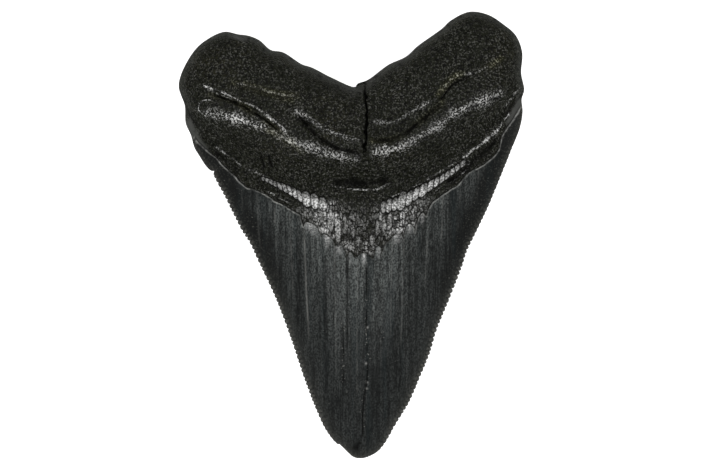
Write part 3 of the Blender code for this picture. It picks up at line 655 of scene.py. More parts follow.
# The scales, the drips and net of cells below them, and the enamel's ragged edge with its lip.
def bourletteRelief(places):
    curve, arc, _ = curveThrough(enamelEdge["line"])
    across = places[:, 0]
    fingers = (enamelEdge["fingersMiddle"], enamelEdge["fingersReach"])
    ragged = 0.1 + 0.22 * bell(across, *fingers, 4)
    ragged += 0.14 * bell(across, -15.0, 5.0, 4)
    warped = shaken(places, ragged[:, None], (0.9, 1.1), (41, 45))
    _, _, signed = nearestOn(warped, curve, arc)
    step = enamelEdge["step"] * smooth(signed, -0.12, 0.2) * np.exp(-np.maximum(signed, 0.0) / 3.5)
    uneven = 0.5 + 0.6 * layeredNoise(places, 1.6, 52) + 0.45 * layeredNoise(places, 0.5, 53, 1)
    middle = bell(across, *fingers, 6)
    lip = bell(signed, enamelEdge["lipPlace"], enamelEdge["lipWidth"]) * np.clip(uneven, 0.12, 1.1)
    lip *= 1.0 - 0.9 * middle
    edgeGap = bell(signed, enamelEdge["gapPlace"], enamelEdge["gapWidth"])
    tops = np.zeros(len(places))
    for x, y, halfWidth in enamelEdge["fingerTops"]:
        body = bell(across, x, halfWidth)
        tops = np.maximum(tops, body * (1.0 - smooth(y - places[:, 1], 0.0, enamelEdge["topReach"])))
    tops *= smooth(-signed, -0.05, 0.15)
    ground = smooth(signed, 0.0, 0.4) * (1.0 - smooth(signed, 2.2, 4.6))
    scales, scaleGap, onScale, scaleLit = domes(places, bourlette["scales"], bourlette["gap"])
    drips, dripGap, onDrip, _ = domes(warped, bourlette["drips"], bourlette["gap"])
    netTop = np.array(bourlette["netTop"])
    belowScales = 1.0 - smooth(places[:, 1] - np.interp(across, netTop[:, 0], netTop[:, 1]), -0.6, 0.8)
    nearMiddle = bell(across, bourlette["netMiddle"], bourlette["netReach"], 4)
    net = smooth(signed, 0.0, 0.3) * belowScales * nearMiddle
    shining = np.full(len(places), bourlette["netDull"])
    for x, y, wide, tall, bright in bourlette["netBright"]:
        shining = np.maximum(shining, bright * softSpot(places, x, y, wide, tall, 1.5))
    wide, tall, lowTall = bourlette["netSize"]
    wavy = shaken(places, 0.3, (1.3, 1.5), (57, 58))
    upward = np.maximum(wavy[:, 1], 0.0) / tall + np.minimum(wavy[:, 1], 0.0) / lowTall
    _, between, height = cellBumps(wavy[:, 0] / wide, upward, 61)
    cell = smooth(between, 0.03, 0.26)
    taken = np.maximum(onScale, onDrip)
    netShare = net * (1.0 - taken)
    relief = step + enamelEdge["lip"] * lip + scales + np.where(onScale > 0.0, 0.0, drips)
    relief += netShare * bourlette["netHeight"] * (0.3 + 0.7 * height) * cell
    relief -= enamelEdge["gapDepth"] * edgeGap
    # The gaps round the scales and drips, between the net's cells and above the lip are painted dark as
    # shade.
    hollow = np.maximum(np.maximum(scaleGap, 0.8 * dripGap), netShare * (1.0 - cell) * 0.75)
    hollow = np.maximum(hollow, edgeGap * (0.75 - 0.4 * middle))
    netted = 0.5 + 0.5 * cell * smooth(height, 0.0, 0.6)
    # Scales, drips, the net's raised cells and the finger tops get painted highlights along with their
    # polish.
    polish = np.maximum(onScale * scaleLit * (0.6 + 0.4 * netted), onDrip * netted * (0.5 + 0.5 * shining))
    netPolish = netShare * np.minimum(1.0, 1.35 * shining) * cell * (0.22 + 0.78 * smooth(height, 0.05, 0.6))
    polish = np.maximum(polish, netPolish)
    streaked = 0.6 + 0.5 * softNoise(across / 0.5, places[:, 1] / 3.0, 56)
    polish = np.maximum(polish, tops * streaked)
    return relief, {
        "rootSide": smooth(signed, -0.14, 0.14), "hollow": hollow, "polish": polish, "lip": lip,
        "ground": ground, "patch": net, "scales": np.maximum(onScale, scaleGap),
    }


# The enamel crown: long fine lines, the flattened margin, cracks and specks.
crown = {
    # Lines as (x at the top, lower end, upper end, half width, height, paleness).
    "lines": [
        (-9.4, -22.0, 3.0, 0.16, 0.07, 0.9), (-12.2, -16.0, 4.0, 0.16, 0.04, 0.35),
        (-15.2, -10.0, 5.0, 0.14, 0.04, 0.45), (-5.9, -26.0, 0.0, 0.2, -0.07, 0.0),
        (-3.5, -30.0, -2.0, 0.16, 0.04, 0.35), (-1.0, -26.0, -3.9, 0.2, -0.08, 0.0),
        (1.1, -38.0, -5.0, 0.15, 0.04, 0.3), (5.9, -30.0, -4.0, 0.2, -0.06, 0.0),
        (8.2, -22.0, -1.0, 0.15, 0.04, 0.35), (10.5, -24.0, 1.0, 0.15, 0.05, 0.5),
        (12.5, -18.0, 2.7, 0.2, -0.07, 0.0), (15.1, -12.0, 5.0, 0.15, 0.04, 0.4),
        (17.9, -6.0, 7.5, 0.15, 0.04, 0.45), (21.3, 0.0, 9.0, 0.15, 0.05, 0.5),
        (24.7, 6.0, 12.0, 0.16, 0.05, 0.4), (-18.6, -4.0, 7.5, 0.15, 0.04, 0.35),
        (-21.6, 3.0, 9.0, 0.15, 0.03, 0.25),
    ],
    "cracks": [
        ([(2.9, -5.3), (3.0, -12.9), (2.9, -19.1), (3.1, -23.3), (3.1, -28.3), (2.6, -31.5), (2.2, -35.3),
          (2.2, -38.9), (1.9, -41.3)], 0.2, -0.16),
        ([(-1.7, -17.3), (-1.6, -22.9), (-1.7, -29.9)], 0.15, -0.09),
        ([(6.0, -19.3), (6.2, -22.1)], 0.2, -0.06),
    ],
    # Small pits and grains of matrix as (x, y, radius, height).
    "specks": [
        (3.1, -18.3, 0.22, 0.1), (2.9, -25.5, 0.22, 0.12), (3.1, -29.3, 0.2, 0.1), (2.9, -30.5, 0.2, 0.08),
        (0.9, -42.4, 0.8, -0.3), (1.6, -41.6, 0.4, -0.2),
    ],
    # Places of the enamel painted darker as shade, as (x, y, half width, half height, share); below zero they
    # are painted lighter as light.
    "shades": [
        (-19.5, 8.2, 2.6, 1.8, 0.5), (-11.0, 4.0, 1.8, 1.6, 0.35), (14.2, 4.0, 3.4, 2.6, 0.5),
        (20.8, 4.6, 2.2, 2.6, 0.45), (-5.6, -11.5, 2.8, 5.0, 0.4), (4.9, -29.5, 1.4, 4.2, 0.5),
        (-2.9, -33.2, 0.9, 2.4, 0.6), (3.6, -39.6, 1.3, 2.6, 0.4), (-1.3, -38.6, 1.2, 2.6, -0.55),
    ],
    "middle": 1.6,
    "ridgeMiddle": 1.4,
    "dustReach": 0.38,
    "striaWidth": 0.5,
    "striaLength": 15.0,
    "striaHeight": 0.007,
    "fineStriaHeight": 0.008,
    "dashHeight": 0.012,
    "broadHeight": 0.006,
    "fullHalfWidth": 24.0,
    "spreadPower": 0.14,
}


# How much the lines of the crown draw together where it is narrower.
def crownSpread(halfWidth):
    return np.clip(halfWidth / crown["fullHalfWidth"], 0.05, 2.0) ** crown["spreadPower"]


# Relief of the crown and what its finish reads; q is the place across it, measured between its lines.
def crownRelief(places, distance):
    _, halfWidth = shareAcross(places)
    middle = crown["middle"]
    spread = crownSpread(halfWidth)
    q = (places[:, 0] - middle) / spread
    y = places[:, 1]
    bend = 0.5 * layeredNoise(places, 9.0, 71, 2)
    stria = softNoise((q + bend) / crown["striaWidth"], y / crown["striaLength"], 73)
    finer = ((q + bend) / (0.5 * crown["striaWidth"]), y / (0.6 * crown["striaLength"]) + 9.1)
    stria += 0.6 * softNoise(*finer, 74)
    fine = softNoise(q / 0.3, y / 6.0, 75)
    broad = softNoise(q / 2.6, y / 26.0, 76)
    dashes = softNoise(q / 0.34, y / 1.3, 77) * smooth(y, -44.0, -34.0) * (1.0 - smooth(y, -14.0, -2.0))
    relief = crown["striaHeight"] * stria + crown["fineStriaHeight"] * fine + crown["broadHeight"] * broad
    relief += crown["dashHeight"] * dashes
    hollow = np.zeros(len(places))
    pale = np.zeros(len(places))
    # Lines below zero are grooves painted dark as shade, and so are the cracks and pits.
    for x, low, high, width, height, paleness in crown["lines"]:
        body = np.exp(-(((q + 0.3 * bend - (x - middle)) * spread / (0.8 * width)) ** 2))
        body *= np.clip(0.55 + 0.9 * softNoise(np.full(len(y), x), y / 1.6, 79), 0.0, 1.0)
        body *= smooth(y, low, low + 6.0) * (1.0 - smooth(y, high, high + 2.0))
        relief += height * body
        if height < 0.0:
            hollow = np.maximum(hollow, 0.85 * body)
        pale = np.maximum(pale, 0.5 * paleness * body)
    for line, width, depth in crown["cracks"]:
        picked, gap, along, _, length = besideLine(places, line, 4.0 * width)
        broken = np.clip(0.8 + 0.8 * lineNoise(along / 1.7, 81), 0.0, 1.0)
        body = faded(along, length, 1.5) * bell(gap, 0.0, width) * broken
        relief[picked] += depth * body
        hollow[picked] = np.maximum(hollow[picked], body)
    for x, y0, radius, height in crown["specks"]:
        body = bell(np.linalg.norm(places - (x, y0), axis=1), 0.0, radius)
        relief += height * body
        if height > 0.0:
            pale = np.maximum(pale, body)
        else:
            hollow = np.maximum(hollow, body)
    # The margin is smoother, and its pale hairs are painted out as shade, most in the upper half where it is
    # grooved.
    upper = smooth(y, -22.0, 2.0)
    wander = distance + 0.35 * lineNoise(y / 3.0, 82)
    margin = (0.3 + 0.7 * upper) * (1.0 - smooth(wander, 0.8 + 2.0 * upper, 3.0 + 1.7 * upper))
    relief *= 1.0 - 0.5 * margin
    # Painted light and shade: the crown's upper middle keeps its pale hairs in full, while the flanks and the
    # part toward the tip lose most of them.
    ridgeWidth = (0.5 + 0.2 * smooth(y, -6.0, 6.0)) * halfWidth + 0.5
    ridge = smooth(y, -27.0, -5.0) * bell(places[:, 0], crown["ridgeMiddle"], ridgeWidth, 4)
    edge = 0.85 * np.exp(-distance / 0.5) + 0.1 * (1.0 - upper) * (1.0 - smooth(distance, 1.0, 3.4))
    dust = np.zeros(len(places))
    for line, _, _ in crown["cracks"]:
        picked, gap, _, _, _ = besideLine(places, line, 1.2)
        dust[picked] = np.maximum(dust[picked], bell(gap, 0.0, crown["dustReach"]))
    shade = np.zeros(len(places))
    for x, y0, wide, tall, share in crown["shades"]:
        shade += share * softSpot(places, x, y0, wide, tall, 1.2)
    return relief, {
        "hollow": hollow, "pale": pale, "stria": 0.5 * stria + 0.35 * broad, "margin": margin,
        "ridge": ridge, "edge": np.clip(edge, 0.0, 1.0), "dust": dust, "shade": shade,
    }


# Grain of the root: pebbles and pores, and the smooth places that are painted grey as a reflection.
grain = {
    "pebbleSize": 0.58,
    "pebbleHeight": 0.26,
    "mediumSize": 1.5,
    "mediumHeight": 0.1,
    "broadSize": 5.0,
    "broadHeight": 0.16,
    "pores": 260,
    "poreRadius": (0.14, 0.34),
    "poreDepth": 0.3,
    "smoothRim": (0.3, 1.5),
    # Smooth places painted grey as a reflection, as (line, half width).
    "shoulders": [
        ([(-33.2, 23.6), (-31.5, 19.8), (-29.8, 17.0), (-28.1, 14.4)], 1.0),
        ([(34.2, 27.8), (33.2, 25.4), (31.9, 23.1), (31.2, 21.6)], 0.9),
        ([(-26.2, 39.7), (-23.6, 39.5), (-20.6, 38.8)], 0.4),
    ],
    # Where along the tooth they begin to be broken up, and where they are so in full.
    "brokenAbove": (33.0, 36.0),
}


def grainRelief(places, seed):
    first, _, height = cellBumps(places[:, 0] / grain["pebbleSize"], places[:, 1] / grain["pebbleSize"], seed)
    pebbles = (0.25 + 0.75 * height) * (1.0 - np.clip(first / 0.75, 0.0, 1.0) ** 2)
    patchy = 0.75 + 0.45 * layeredNoise(places, 4.0, seed + 1)
    relief = grain["pebbleHeight"] * pebbles * patchy
    relief += grain["mediumHeight"] * layeredNoise(places, grain["mediumSize"], seed + 5)
    relief += grain["broadHeight"] * layeredNoise(places, grain["broadSize"], seed + 9, 2)
    return relief, pebbles


# Small round pits, spread evenly above the given height, each painted dark as shade.
def poreRelief(places, seed, low):
    chance = np.random.RandomState(seed)
    relief = np.zeros(len(places))
    hollow = np.zeros(len(places))
    for _ in range(grain["pores"]):
        spot = (chance.uniform(-34.0, 34.0), chance.uniform(low, 44.0))
        radius = chance.uniform(*grain["poreRadius"])
        picked = np.nonzero((np.abs(places - spot) < 2.0 * radius).all(axis=1))[0]
        if len(picked):
            body = bell(np.linalg.norm(places[picked] - spot, axis=1), 0.0, radius)
            relief[picked] -= grain["poreDepth"] * radius * 2.0 * body
            hollow[picked] = np.maximum(hollow[picked], 0.8 * body)
    return relief, hollow


# What the rounded serrations add to a face beside the edge.
def beadRelief(distance, bead):
    shown = np.exp(-np.maximum(distance - serrations["beadTop"], 0.0) / serrations["beadReach"])
    return np.where(distance > serrations["beadFrom"], serrations["beadHeight"] * bead * shown, 0.0)


def bareShoulders(places):
    shoulder = np.zeros(len(places))
    for line, halfWidth in grain["shoulders"]:
        picked, gap, along, _, length = besideLine(places, line, 2.0 * halfWidth)
        gap = gap + 0.35 * halfWidth * layeredNoise(places[picked], 0.9, 141)
        bare = faded(along, length, 1.2) * (1.0 - smooth(gap, 0.6 * halfWidth, 1.3 * halfWidth))
        shoulder[picked] = np.maximum(shoulder[picked], bare)
    return shoulder


# The whole upper face: height and the values that its material reads.
def upperFace(places, distance, bead):
    form, rootShare = upperForm(places, distance)
    band, bandLook = bourletteRelief(places)
    folds, foldHollow, foldWorn, olive = foldRelief(shaken(places, 0.13, (1.4, 1.6), (21, 25)))
    split, splitHollow = crackRelief(places)
    rough, pebbles = grainRelief(places, 101)
    pores, poreHollow = poreRelief(places, 131, 16.0)
    lines, lineLook = crownRelief(places, distance)
    shoulder = bareShoulders(places)
    rootSide = bandLook["rootSide"]
    onRoot = rootSide * (1.0 - bandLook["scales"]) * (1.0 - 0.8 * bandLook["patch"])
    rimOff = smooth(distance, *grain["smoothRim"])
    roughShare = onRoot * (0.3 + 0.7 * rimOff) * (1.0 - 0.9 * shoulder)
    roughShare *= 1.0 + 0.9 * bandLook["ground"] * (1.0 - bandLook["patch"])
    relief = band + folds * rootSide * (1.0 - bandLook["scales"]) + split
    relief += (rough + pores) * roughShare + lines * (1.0 - rootSide)
    inside = smooth(distance, 0.2, 2.0)
    base = edgeHeight(places)
    height = np.maximum(form + relief * inside, base + 0.35 * distance)
    height += beadRelief(distance, bead) * (1.0 - rootShare)
    hollow = np.maximum(bandLook["hollow"], splitHollow)
    hollow = np.maximum(hollow, np.maximum(foldHollow, 0.8 * poreHollow) * onRoot)
    hollow = np.maximum(hollow, lineLook["hollow"] * (1.0 - rootSide))
    # The serration notches on the enamel are painted dark as shade.
    notches = smooth(-bead, 0.12, 0.45) * np.exp(-np.maximum(distance - 0.2, 0.0) / 0.7)
    hollow = np.maximum(hollow, 0.8 * notches * (1.0 - rootSide))
    worn = np.maximum(foldWorn * onRoot, bandLook["lip"])
    # The smooth spot painted grey as a reflection on top of the left lobe runs down the steep wall, so it is
    # broken up by height too.
    downWall = np.column_stack([places[:, 0], places[:, 1] + height])
    brokenUp = smooth(layeredNoise(downWall, 0.8, 145), -0.3, 0.3)
    shoulder *= 1.0 - 0.75 * smooth(places[:, 1], *grain["brokenAbove"]) * (1.0 - brokenUp)
    return height, {
        "rootSide": rootSide,
        "hollow": np.clip(hollow, 0.0, 1.0),
        "polish": np.clip(bandLook["polish"], 0.0, 1.0),
        "worn": np.clip(worn, 0.0, 1.0),
        # The crown's pale lines and specks are their own colour; the enamel lip is painted pale as a
        # highlight.
        "pale": np.clip(np.maximum(lineLook["pale"] * (1.0 - rootSide), bandLook["lip"]), 0.0, 1.0),
        "shoulder": np.clip(shoulder, 0.0, 1.0),
        "stria": np.clip(0.5 + 0.5 * lineLook["stria"], 0.0, 1.0),
        "margin": lineLook["margin"] * (1.0 - rootSide),
        "ridge": lineLook["ridge"],
        # The edge band is tinted olive, and each serration's bead is painted paler as light falling on it.
        "edge": np.clip(lineLook["edge"] * (0.85 + 1.2 * bead) + 0.5 * np.maximum(bead, 0.0), 0.0, 1.0),
        "dust": lineLook["dust"],
        "shade": lineLook["shade"],
        "olive": olive * onRoot,
        # The outer rim is painted paler as a reflection.
        "rimBand": 1.0 - smooth(distance, *rim["paleBand"]),
        "pebble": pebbles,
    }


# The whole lower face: flat enough to lie on, with the root's grain and the enamel's faint lines.
def lowerFace(places, distance, bead):
    form, rootSide = underForm(places, distance)
    rough, pebbles = grainRelief(places, 201)
    pores, poreHollow = poreRelief(places, 231, 20.0)
    _, halfWidth = shareAcross(places)
    q = (places[:, 0] - crown["middle"]) / crownSpread(halfWidth)
    stria = softNoise(q / 1.1, places[:, 1] / 15.0, 241) + 0.6 * softNoise(q / 0.6, places[:, 1] / 8.0, 242)
    enamelLine = runThrough(places[:, 0], toothForm["underEnamelLine"])
    lip = bell(places[:, 1], enamelLine, toothForm["underLipWidth"])
    relief = (rough + pores) * rootSide + toothForm["underStriaHeight"] * stria * (1.0 - rootSide)
    relief += toothForm["underLipHeight"] * lip
    height = form - relief * smooth(distance, 0.3, 2.0)
    u = (places - toothForm["restCentre"]) / toothForm["restRadii"]
    height = height * smooth((u**2).sum(axis=1), 1.0, 1.7)
    base = edgeHeight(places)
    height = np.minimum(np.maximum(height, 0.0), base - 0.12 * np.minimum(distance, 2.0))
    height -= beadRelief(distance, bead) * (1.0 - rootSide)
    blank = np.zeros(len(places))
    return np.maximum(height, 0.0), {
        "rootSide": rootSide,
        "hollow": np.clip(poreHollow * rootSide, 0.0, 1.0),
        "polish": blank,
        # The underside's lip is painted pale as a highlight.
        "worn": 0.5 * lip,
        "pale": 0.4 * lip,
        "shoulder": blank,
        "stria": np.clip(0.5 + 0.25 * stria, 0.0, 1.0),
        "margin": (1.0 - smooth(distance, 1.8, 5.2)) * (1.0 - rootSide),
        # Toward the tip the underside's hairs are painted out as shade.
        "ridge": 0.5 * smooth(places[:, 1], -34.0, 0.0),
        "edge": 0.85 * np.exp(-distance / 0.55),
        "dust": blank,
        "shade": blank,
        "olive": blank,
        # The outer rim is painted paler as a reflection.
        "rimBand": 1.0 - smooth(distance, *rim["paleBand"]),
        "pebble": pebbles,
    }


# How far apart the mesh's points are: closest in the scaled band and along narrow lines.
meshGrid = {
    "rootTop": 0.27,
    "crownTop": (0.22, 0.55),
    "bandTop": 0.112,
    "bandAlongLine": 0.45,
    "bandAboveScales": 1.7,
    "bandRows": (-6.5, 27.0),
    # Lines of the root that are drawn with finer points, and how far either side.
    "lineTop": 0.15,
    "lineReach": 0.42,
    "fineLines": [
        "leftUpperRidge", "leftUpperGroove", "leftInnerGroove", "rightCrease", "rightTrough",
        "rightUpperTail", "rightBorder", "lip", "leftCurl", "striaA", "striaB",
    ],
    "rootUnder": 0.54,
    "crownUnder": (0.42, 1.2),
    "clearOfRows": 0.55,
    "borderBelowLine": 1.0,
}


# How many rows of points follow the outline inward at each place round it, and how far in each row is.
def rimRows(mostRows, radius):
    rootShare = smooth(ringOnLine[:, 1], rim["rootFrom"], rim["rootFully"])
    counts = np.round(rim["crownRows"] + (mostRows - rim["crownRows"]) * rootShare).astype(int)
    for _ in range(2):
        for k in range(ringCount):
            counts[k] = min(counts[k], counts[k - 1] + 1)
        for k in range(ringCount - 1, -1, -1):
            counts[k] = min(counts[k], counts[(k + 1) % ringCount] + 1)
    offsets = []
    for k in range(1, mostRows + 1):
        angle = math.radians(rim["lastAngle"]) * k / mostRows
        onRoot = radius * (1.0 - math.cos(angle))
        if k <= rim["crownRows"]:
            onCrown = rim["crownOffsets"][k - 1] + rim["insetKept"][k - 1] * ringInset
        else:
            onCrown = rim["crownOffsets"][-1] + rim["crownStepOn"] * (k - rim["crownRows"])
        offsets.append(onCrown + (onRoot - onCrown) * rootShare)
    return counts, np.array(offsets), rootShare


def lattice(stepX, stepY, low, high):
    rows = np.arange(low[1], high[1], stepY)
    columns = np.arange(low[0], high[0], stepX)
    return np.array([(x + stepX * 0.5 * (k % 2), y) for k, y in enumerate(rows) for x in columns])


# One face over the outline: rows along the rim, then a filled middle. Returns places, distances, beads and
# triangles, where the first places are the ring's own.
def meshFace(mostRows, radius, middle, seed):
    counts, offsets, rootShare = rimRows(mostRows, radius)
    ring = ringOnLine + ringNormal * ringInset[:, None]
    places = [ring]
    nominal = [ringInset]
    weight = [np.zeros(ringCount)]
    beads = [ringBead]
    columns = [[k] for k in range(ringCount)]
    total = ringCount
    for row in range(mostRows):
        held = np.nonzero(counts > row)[0]
        reach = offsets[row][held]
        share = (row + 1) / counts[held]
        uneven = rim["wallRoughness"] * (0.5 + 0.5 * lineNoise(ringArc[held] / 1.7, seed, 0.9 * row))
        turned = ringNormal[held] + (ringWideNormal[held] - ringNormal[held]) * min(1.0, (row + 1) / 3.0)
        turned /= np.linalg.norm(turned, axis=1)[:, None]
        shift = uneven * rootShare[held] * np.sin(math.pi * np.minimum(share, 1.0))
        places.append(ringOnLine[held] + turned * (reach + shift)[:, None])
        nominal.append(reach)
        weight.append(share)
        beads.append(ringBead[held])
        for number, k in enumerate(held):
            columns[k].append(total + number)
        total += len(held)
    triangles = []
    for k in range(ringCount):
        here = columns[k]
        there = columns[(k + 1) % ringCount]
        for row in range(min(len(here), len(there)) - 1):
            triangles.append((here[row], here[row + 1], there[row + 1]))
            triangles.append((here[row], there[row + 1], there[row]))
        if len(there) > len(here):
            triangles.append((here[-1], there[-1], there[-2]))
        elif len(here) > len(there):
            triangles.append((here[-2], here[-1], there[-1]))
    rows = np.vstack(places)
    loop = [column[-1] for column in columns]
    loopPlaces = rows[loop]
    tree = treeOf(loopPlaces)
    distance, _, signed = nearestOn(middle[0], outlineCurve, outlineArc)
    inside = (signed < 0.0) & (distance > rim["crownOffsets"][-1])
    kept = []
    for place, step in zip(middle[0][inside].tolist(), middle[1][inside].tolist()):
        found, number, gap = tree.find((place[0], place[1], 0.0))
        outward = ringWideNormal[number]
        past = (place[0] - found[0]) * outward[0] + (place[1] - found[1]) * outward[1]
        if gap > meshGrid["clearOfRows"] * step and past > 0.0:
            kept.append(place)
    flat = [Vector(place) for place in loopPlaces.tolist() + kept]
    _, _, faces, origins, _, _ = delaunay_2d_cdt(flat, [], [list(range(ringCount))], 1, 1e-6)
    sources = [group[0] for group in origins]
    number = [loop[source] if source < ringCount else total + source - ringCount for source in sources]
    triangles += [tuple(number[corner] for corner in face) for face in faces]
    everything = np.vstack([rows, np.array(kept)])
    rowDistance, _, _ = nearestOn(rows, outlineCurve, outlineArc)
    keepNominal = 1.0 - smooth(np.concatenate(weight), 0.5, 1.0)
    blended = rowDistance + (np.concatenate(nominal) - rowDistance) * keepNominal
    keptDistance, _, _ = nearestOn(np.array(kept), outlineCurve, outlineArc)
    beadValues = np.concatenate(beads + [np.zeros(len(kept))])
    return everything, np.concatenate([blended, keptDistance]), beadValues, triangles


# Whether each place is in the scaled band or on the enamel line, where the upper face has the most points.
def inBand(places):
    curve, arc, _ = curveThrough(enamelEdge["line"])
    distance, _, signed = nearestOn(places, curve, arc)
    scaleRow = np.array([(item[0], item[1]) for item in bourlette["scales"]])
    above = places[:, 1] - np.interp(places[:, 0], scaleRow[:, 0], scaleRow[:, 1])
    between = (signed > 0.0) & (above < meshGrid["bandAboveScales"])
    between &= (places[:, 0] > scaleRow[0, 0] - 0.6) & (places[:, 0] < scaleRow[-1, 0] + 0.6)
    return (distance < meshGrid["bandAlongLine"]) | between


# Whether each place is beside a narrow line of the root, its crack or the crown's long crack.
def nearLines(places):
    lines = [rootFolds[name][0] for name in meshGrid["fineLines"]] + [crack["line"], crown["cracks"][0][0]]
    near = np.zeros(len(places), dtype=bool)
    for line in lines:
        picked, distance, _, _, _ = besideLine(places, line, meshGrid["lineReach"])
        near[picked] |= distance < meshGrid["lineReach"]
    return near


# Lattice points for one face: close over the root, drawn out along the crown's lines, finest in the band.
def middlePoints(rootStep, crownSteps, border, bandStep=0.0, lineStep=0.0):
    low = outlineCurve.min(axis=0)
    high = outlineCurve.max(axis=0)
    dense = lattice(rootStep, rootStep * math.sqrt(0.75), low, high)
    sparse = lattice(crownSteps[0], crownSteps[1], low, high)
    dense = dense[dense[:, 1] > border(dense[:, 0])]
    sparse = sparse[sparse[:, 1] < border(sparse[:, 0]) - 0.5 * crownSteps[1]]
    groups = [(dense, rootStep), (sparse, crownSteps[0])]
    if bandStep:
        lowRow, highRow = meshGrid["bandRows"]
        finest = lattice(bandStep, bandStep * math.sqrt(0.75), (low[0], lowRow), (high[0], highRow))
        groups = [(group[~inBand(group)], step) for group, step in groups]
        groups.append((finest[inBand(finest)], bandStep))
    if lineStep:
        fine = lattice(lineStep, lineStep * math.sqrt(0.75), low, high)
        fine = fine[nearLines(fine)]
        fine = fine[~inBand(fine)]
        cleared = [(group[~nearLines(group)], step) for group, step in groups[:2]]
        groups = cleared + groups[2:] + [(fine, lineStep)]
    steps = np.concatenate([np.full(len(group), step) for group, step in groups])
    return np.vstack([group for group, _ in groups]), steps


def enamelBorder(x):
    line = np.array(enamelEdge["line"])
    return np.interp(x, line[:, 0], line[:, 1]) - meshGrid["borderBelowLine"]


def underBorder(x):
    return runThrough(x, toothForm["underEnamelLine"]) - meshGrid["borderBelowLine"]


topMiddle = middlePoints(
    meshGrid["rootTop"], meshGrid["crownTop"], enamelBorder, meshGrid["bandTop"], meshGrid["lineTop"])
underMiddle = middlePoints(meshGrid["rootUnder"], meshGrid["crownUnder"], underBorder)
topPlaces, topDistance, topBead, topFaces = meshFace(rim["topRows"], rim["topRound"], topMiddle, 301)
underPlaces, underDistance, underBead, underFaces = meshFace(
    rim["underRows"], rim["underRound"], underMiddle, 311)
print("faces laid out:", len(topFaces), "triangles above and", len(underFaces), "below")

topHeight, topLook = upperFace(topPlaces, topDistance, topBead)
underHeight, underLook = lowerFace(underPlaces, underDistance, underBead)
topHeight[:ringCount] = edgeHeight(topPlaces[:ringCount])
lowest = round(float(underHeight.min()), 2)
highest = round(float(topHeight.max()), 2)
print("relief ready, from", lowest, "to", highest, "mm high")


def buildTooth():
    shift = len(topPlaces) - ringCount
    top = np.column_stack([topPlaces, topHeight])
    under = np.column_stack([underPlaces, underHeight])[ringCount:]
    corners = np.vstack([top, under]) * metresPerMm
    below = [tuple(corner + shift * (corner >= ringCount) for corner in face[::-1]) for face in underFaces]
    mesh = bpy.data.meshes.new("fossilTooth")
    mesh.from_pydata(corners.tolist(), [], topFaces + below)
    mesh.shade_smooth()
    for name in topLook:
        values = np.concatenate([topLook[name], underLook[name][ringCount:]]).astype(np.float32)
        attribute = mesh.attributes.new(name, "FLOAT", "POINT")
        attribute.data.foreach_set("value", values)
    piece = bpy.data.objects.new("fossilTooth", mesh)
    bpy.context.scene.collection.objects.link(piece)
    return piece


fossilTooth = buildTooth()
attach(fossilTooth, "root")
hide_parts("tooth")
toothMesh = fossilTooth.data
print("tooth meshed:", len(toothMesh.vertices), "points and", len(toothMesh.polygons), "triangles")


# Colours, roughness and shine of the root and the enamel, with their painted glints, highlights, sheen,
# reflections, light and shade; bumps are in metres.
fossilFinish = {
    "rootDark": (0.0052, 0.0061, 0.0022),
    "rootPale": (0.0215, 0.0232, 0.0150),
    "rootOlive": (0.024, 0.0225, 0.0105),
    "foldOlive": (0.030, 0.029, 0.011),
    "grainOlive": (0.34, 0.335, 0.19),
    "grainBright": (0.098, 0.099, 0.088),
    "grainWorn": (0.95, 0.95, 0.93),
    "enamelDark": (0.0060, 0.0068, 0.0066),
    "enamelPale": (0.150, 0.163, 0.157),
    "enamelTeal": (0.012, 0.020, 0.0215),
    "polished": (0.58, 0.58, 0.57),
    "polishedMiddle": (0.92, 0.92, 0.91),
    "edgeOlive": (0.103, 0.103, 0.090),
    "dustPale": (0.33, 0.33, 0.30),
    "hollowDark": (0.0018, 0.0018, 0.0015),
    "wornPale": (0.5, 0.5, 0.47),
    "shoulderGrey": (0.086, 0.088, 0.082),
    "rimGrey": (0.056, 0.060, 0.051),
    "rootRoughness": 0.34,
    "enamelRoughness": 0.58,
    "polishRoughness": 0.22,
    "hollowRoughness": 0.8,
    "shine": 0.1,
    "coatRoughness": 0.17,
    "polishCoat": 0.75,
    "grainCoat": 0.9,
    "enamelCoat": 0.03,
    "flankShare": 0.27,
    "grainBump": 0.00016,
    "fineBump": 0.00012,
    "enamelBump": 0.00004,
    # How much of each colour shows where its mask is full.
    "oliveShare": 0.6,
    "pitShare": 0.8,
    "rimShare": 0.26,
    "shoulderShare": 0.75,
    "foldOliveShare": 0.5,
    "grainOliveShare": 0.6,
    "tealShare": 0.35,
    "marginOliveShare": 0.3,
    "paleShare": 0.7,
    "hollowShare": 0.9,
    # Noises as (scale for each metre, detail, roughness, stretch).
    "coarseSpeckle": (2600.0, 1.0, 0.5),
    "fineSpeckle": (4300.0, 1.0, 0.55),
    "grainNoise": (1100.0, 3.0, 0.6),
    "patches": (160.0, 3.0, 0.55),
    "olivePatches": (75.0, 2.0, 0.5),
    "hairs": (3300.0, 2.0, 0.6, (1.0, 0.08, 0.02)),
    "strands": (1500.0, 3.0, 0.6, (1.0, 0.03, 0.02)),
    "dashes": (3000.0, 1.0, 0.5, (1.0, 0.26, 0.1)),
    "enamelGrain": (3900.0, 1.0, 0.5, (1.0, 0.6, 0.6)),
    "bands": (420.0, 2.0, 0.5, (1.0, 0.06, 0.02)),
}


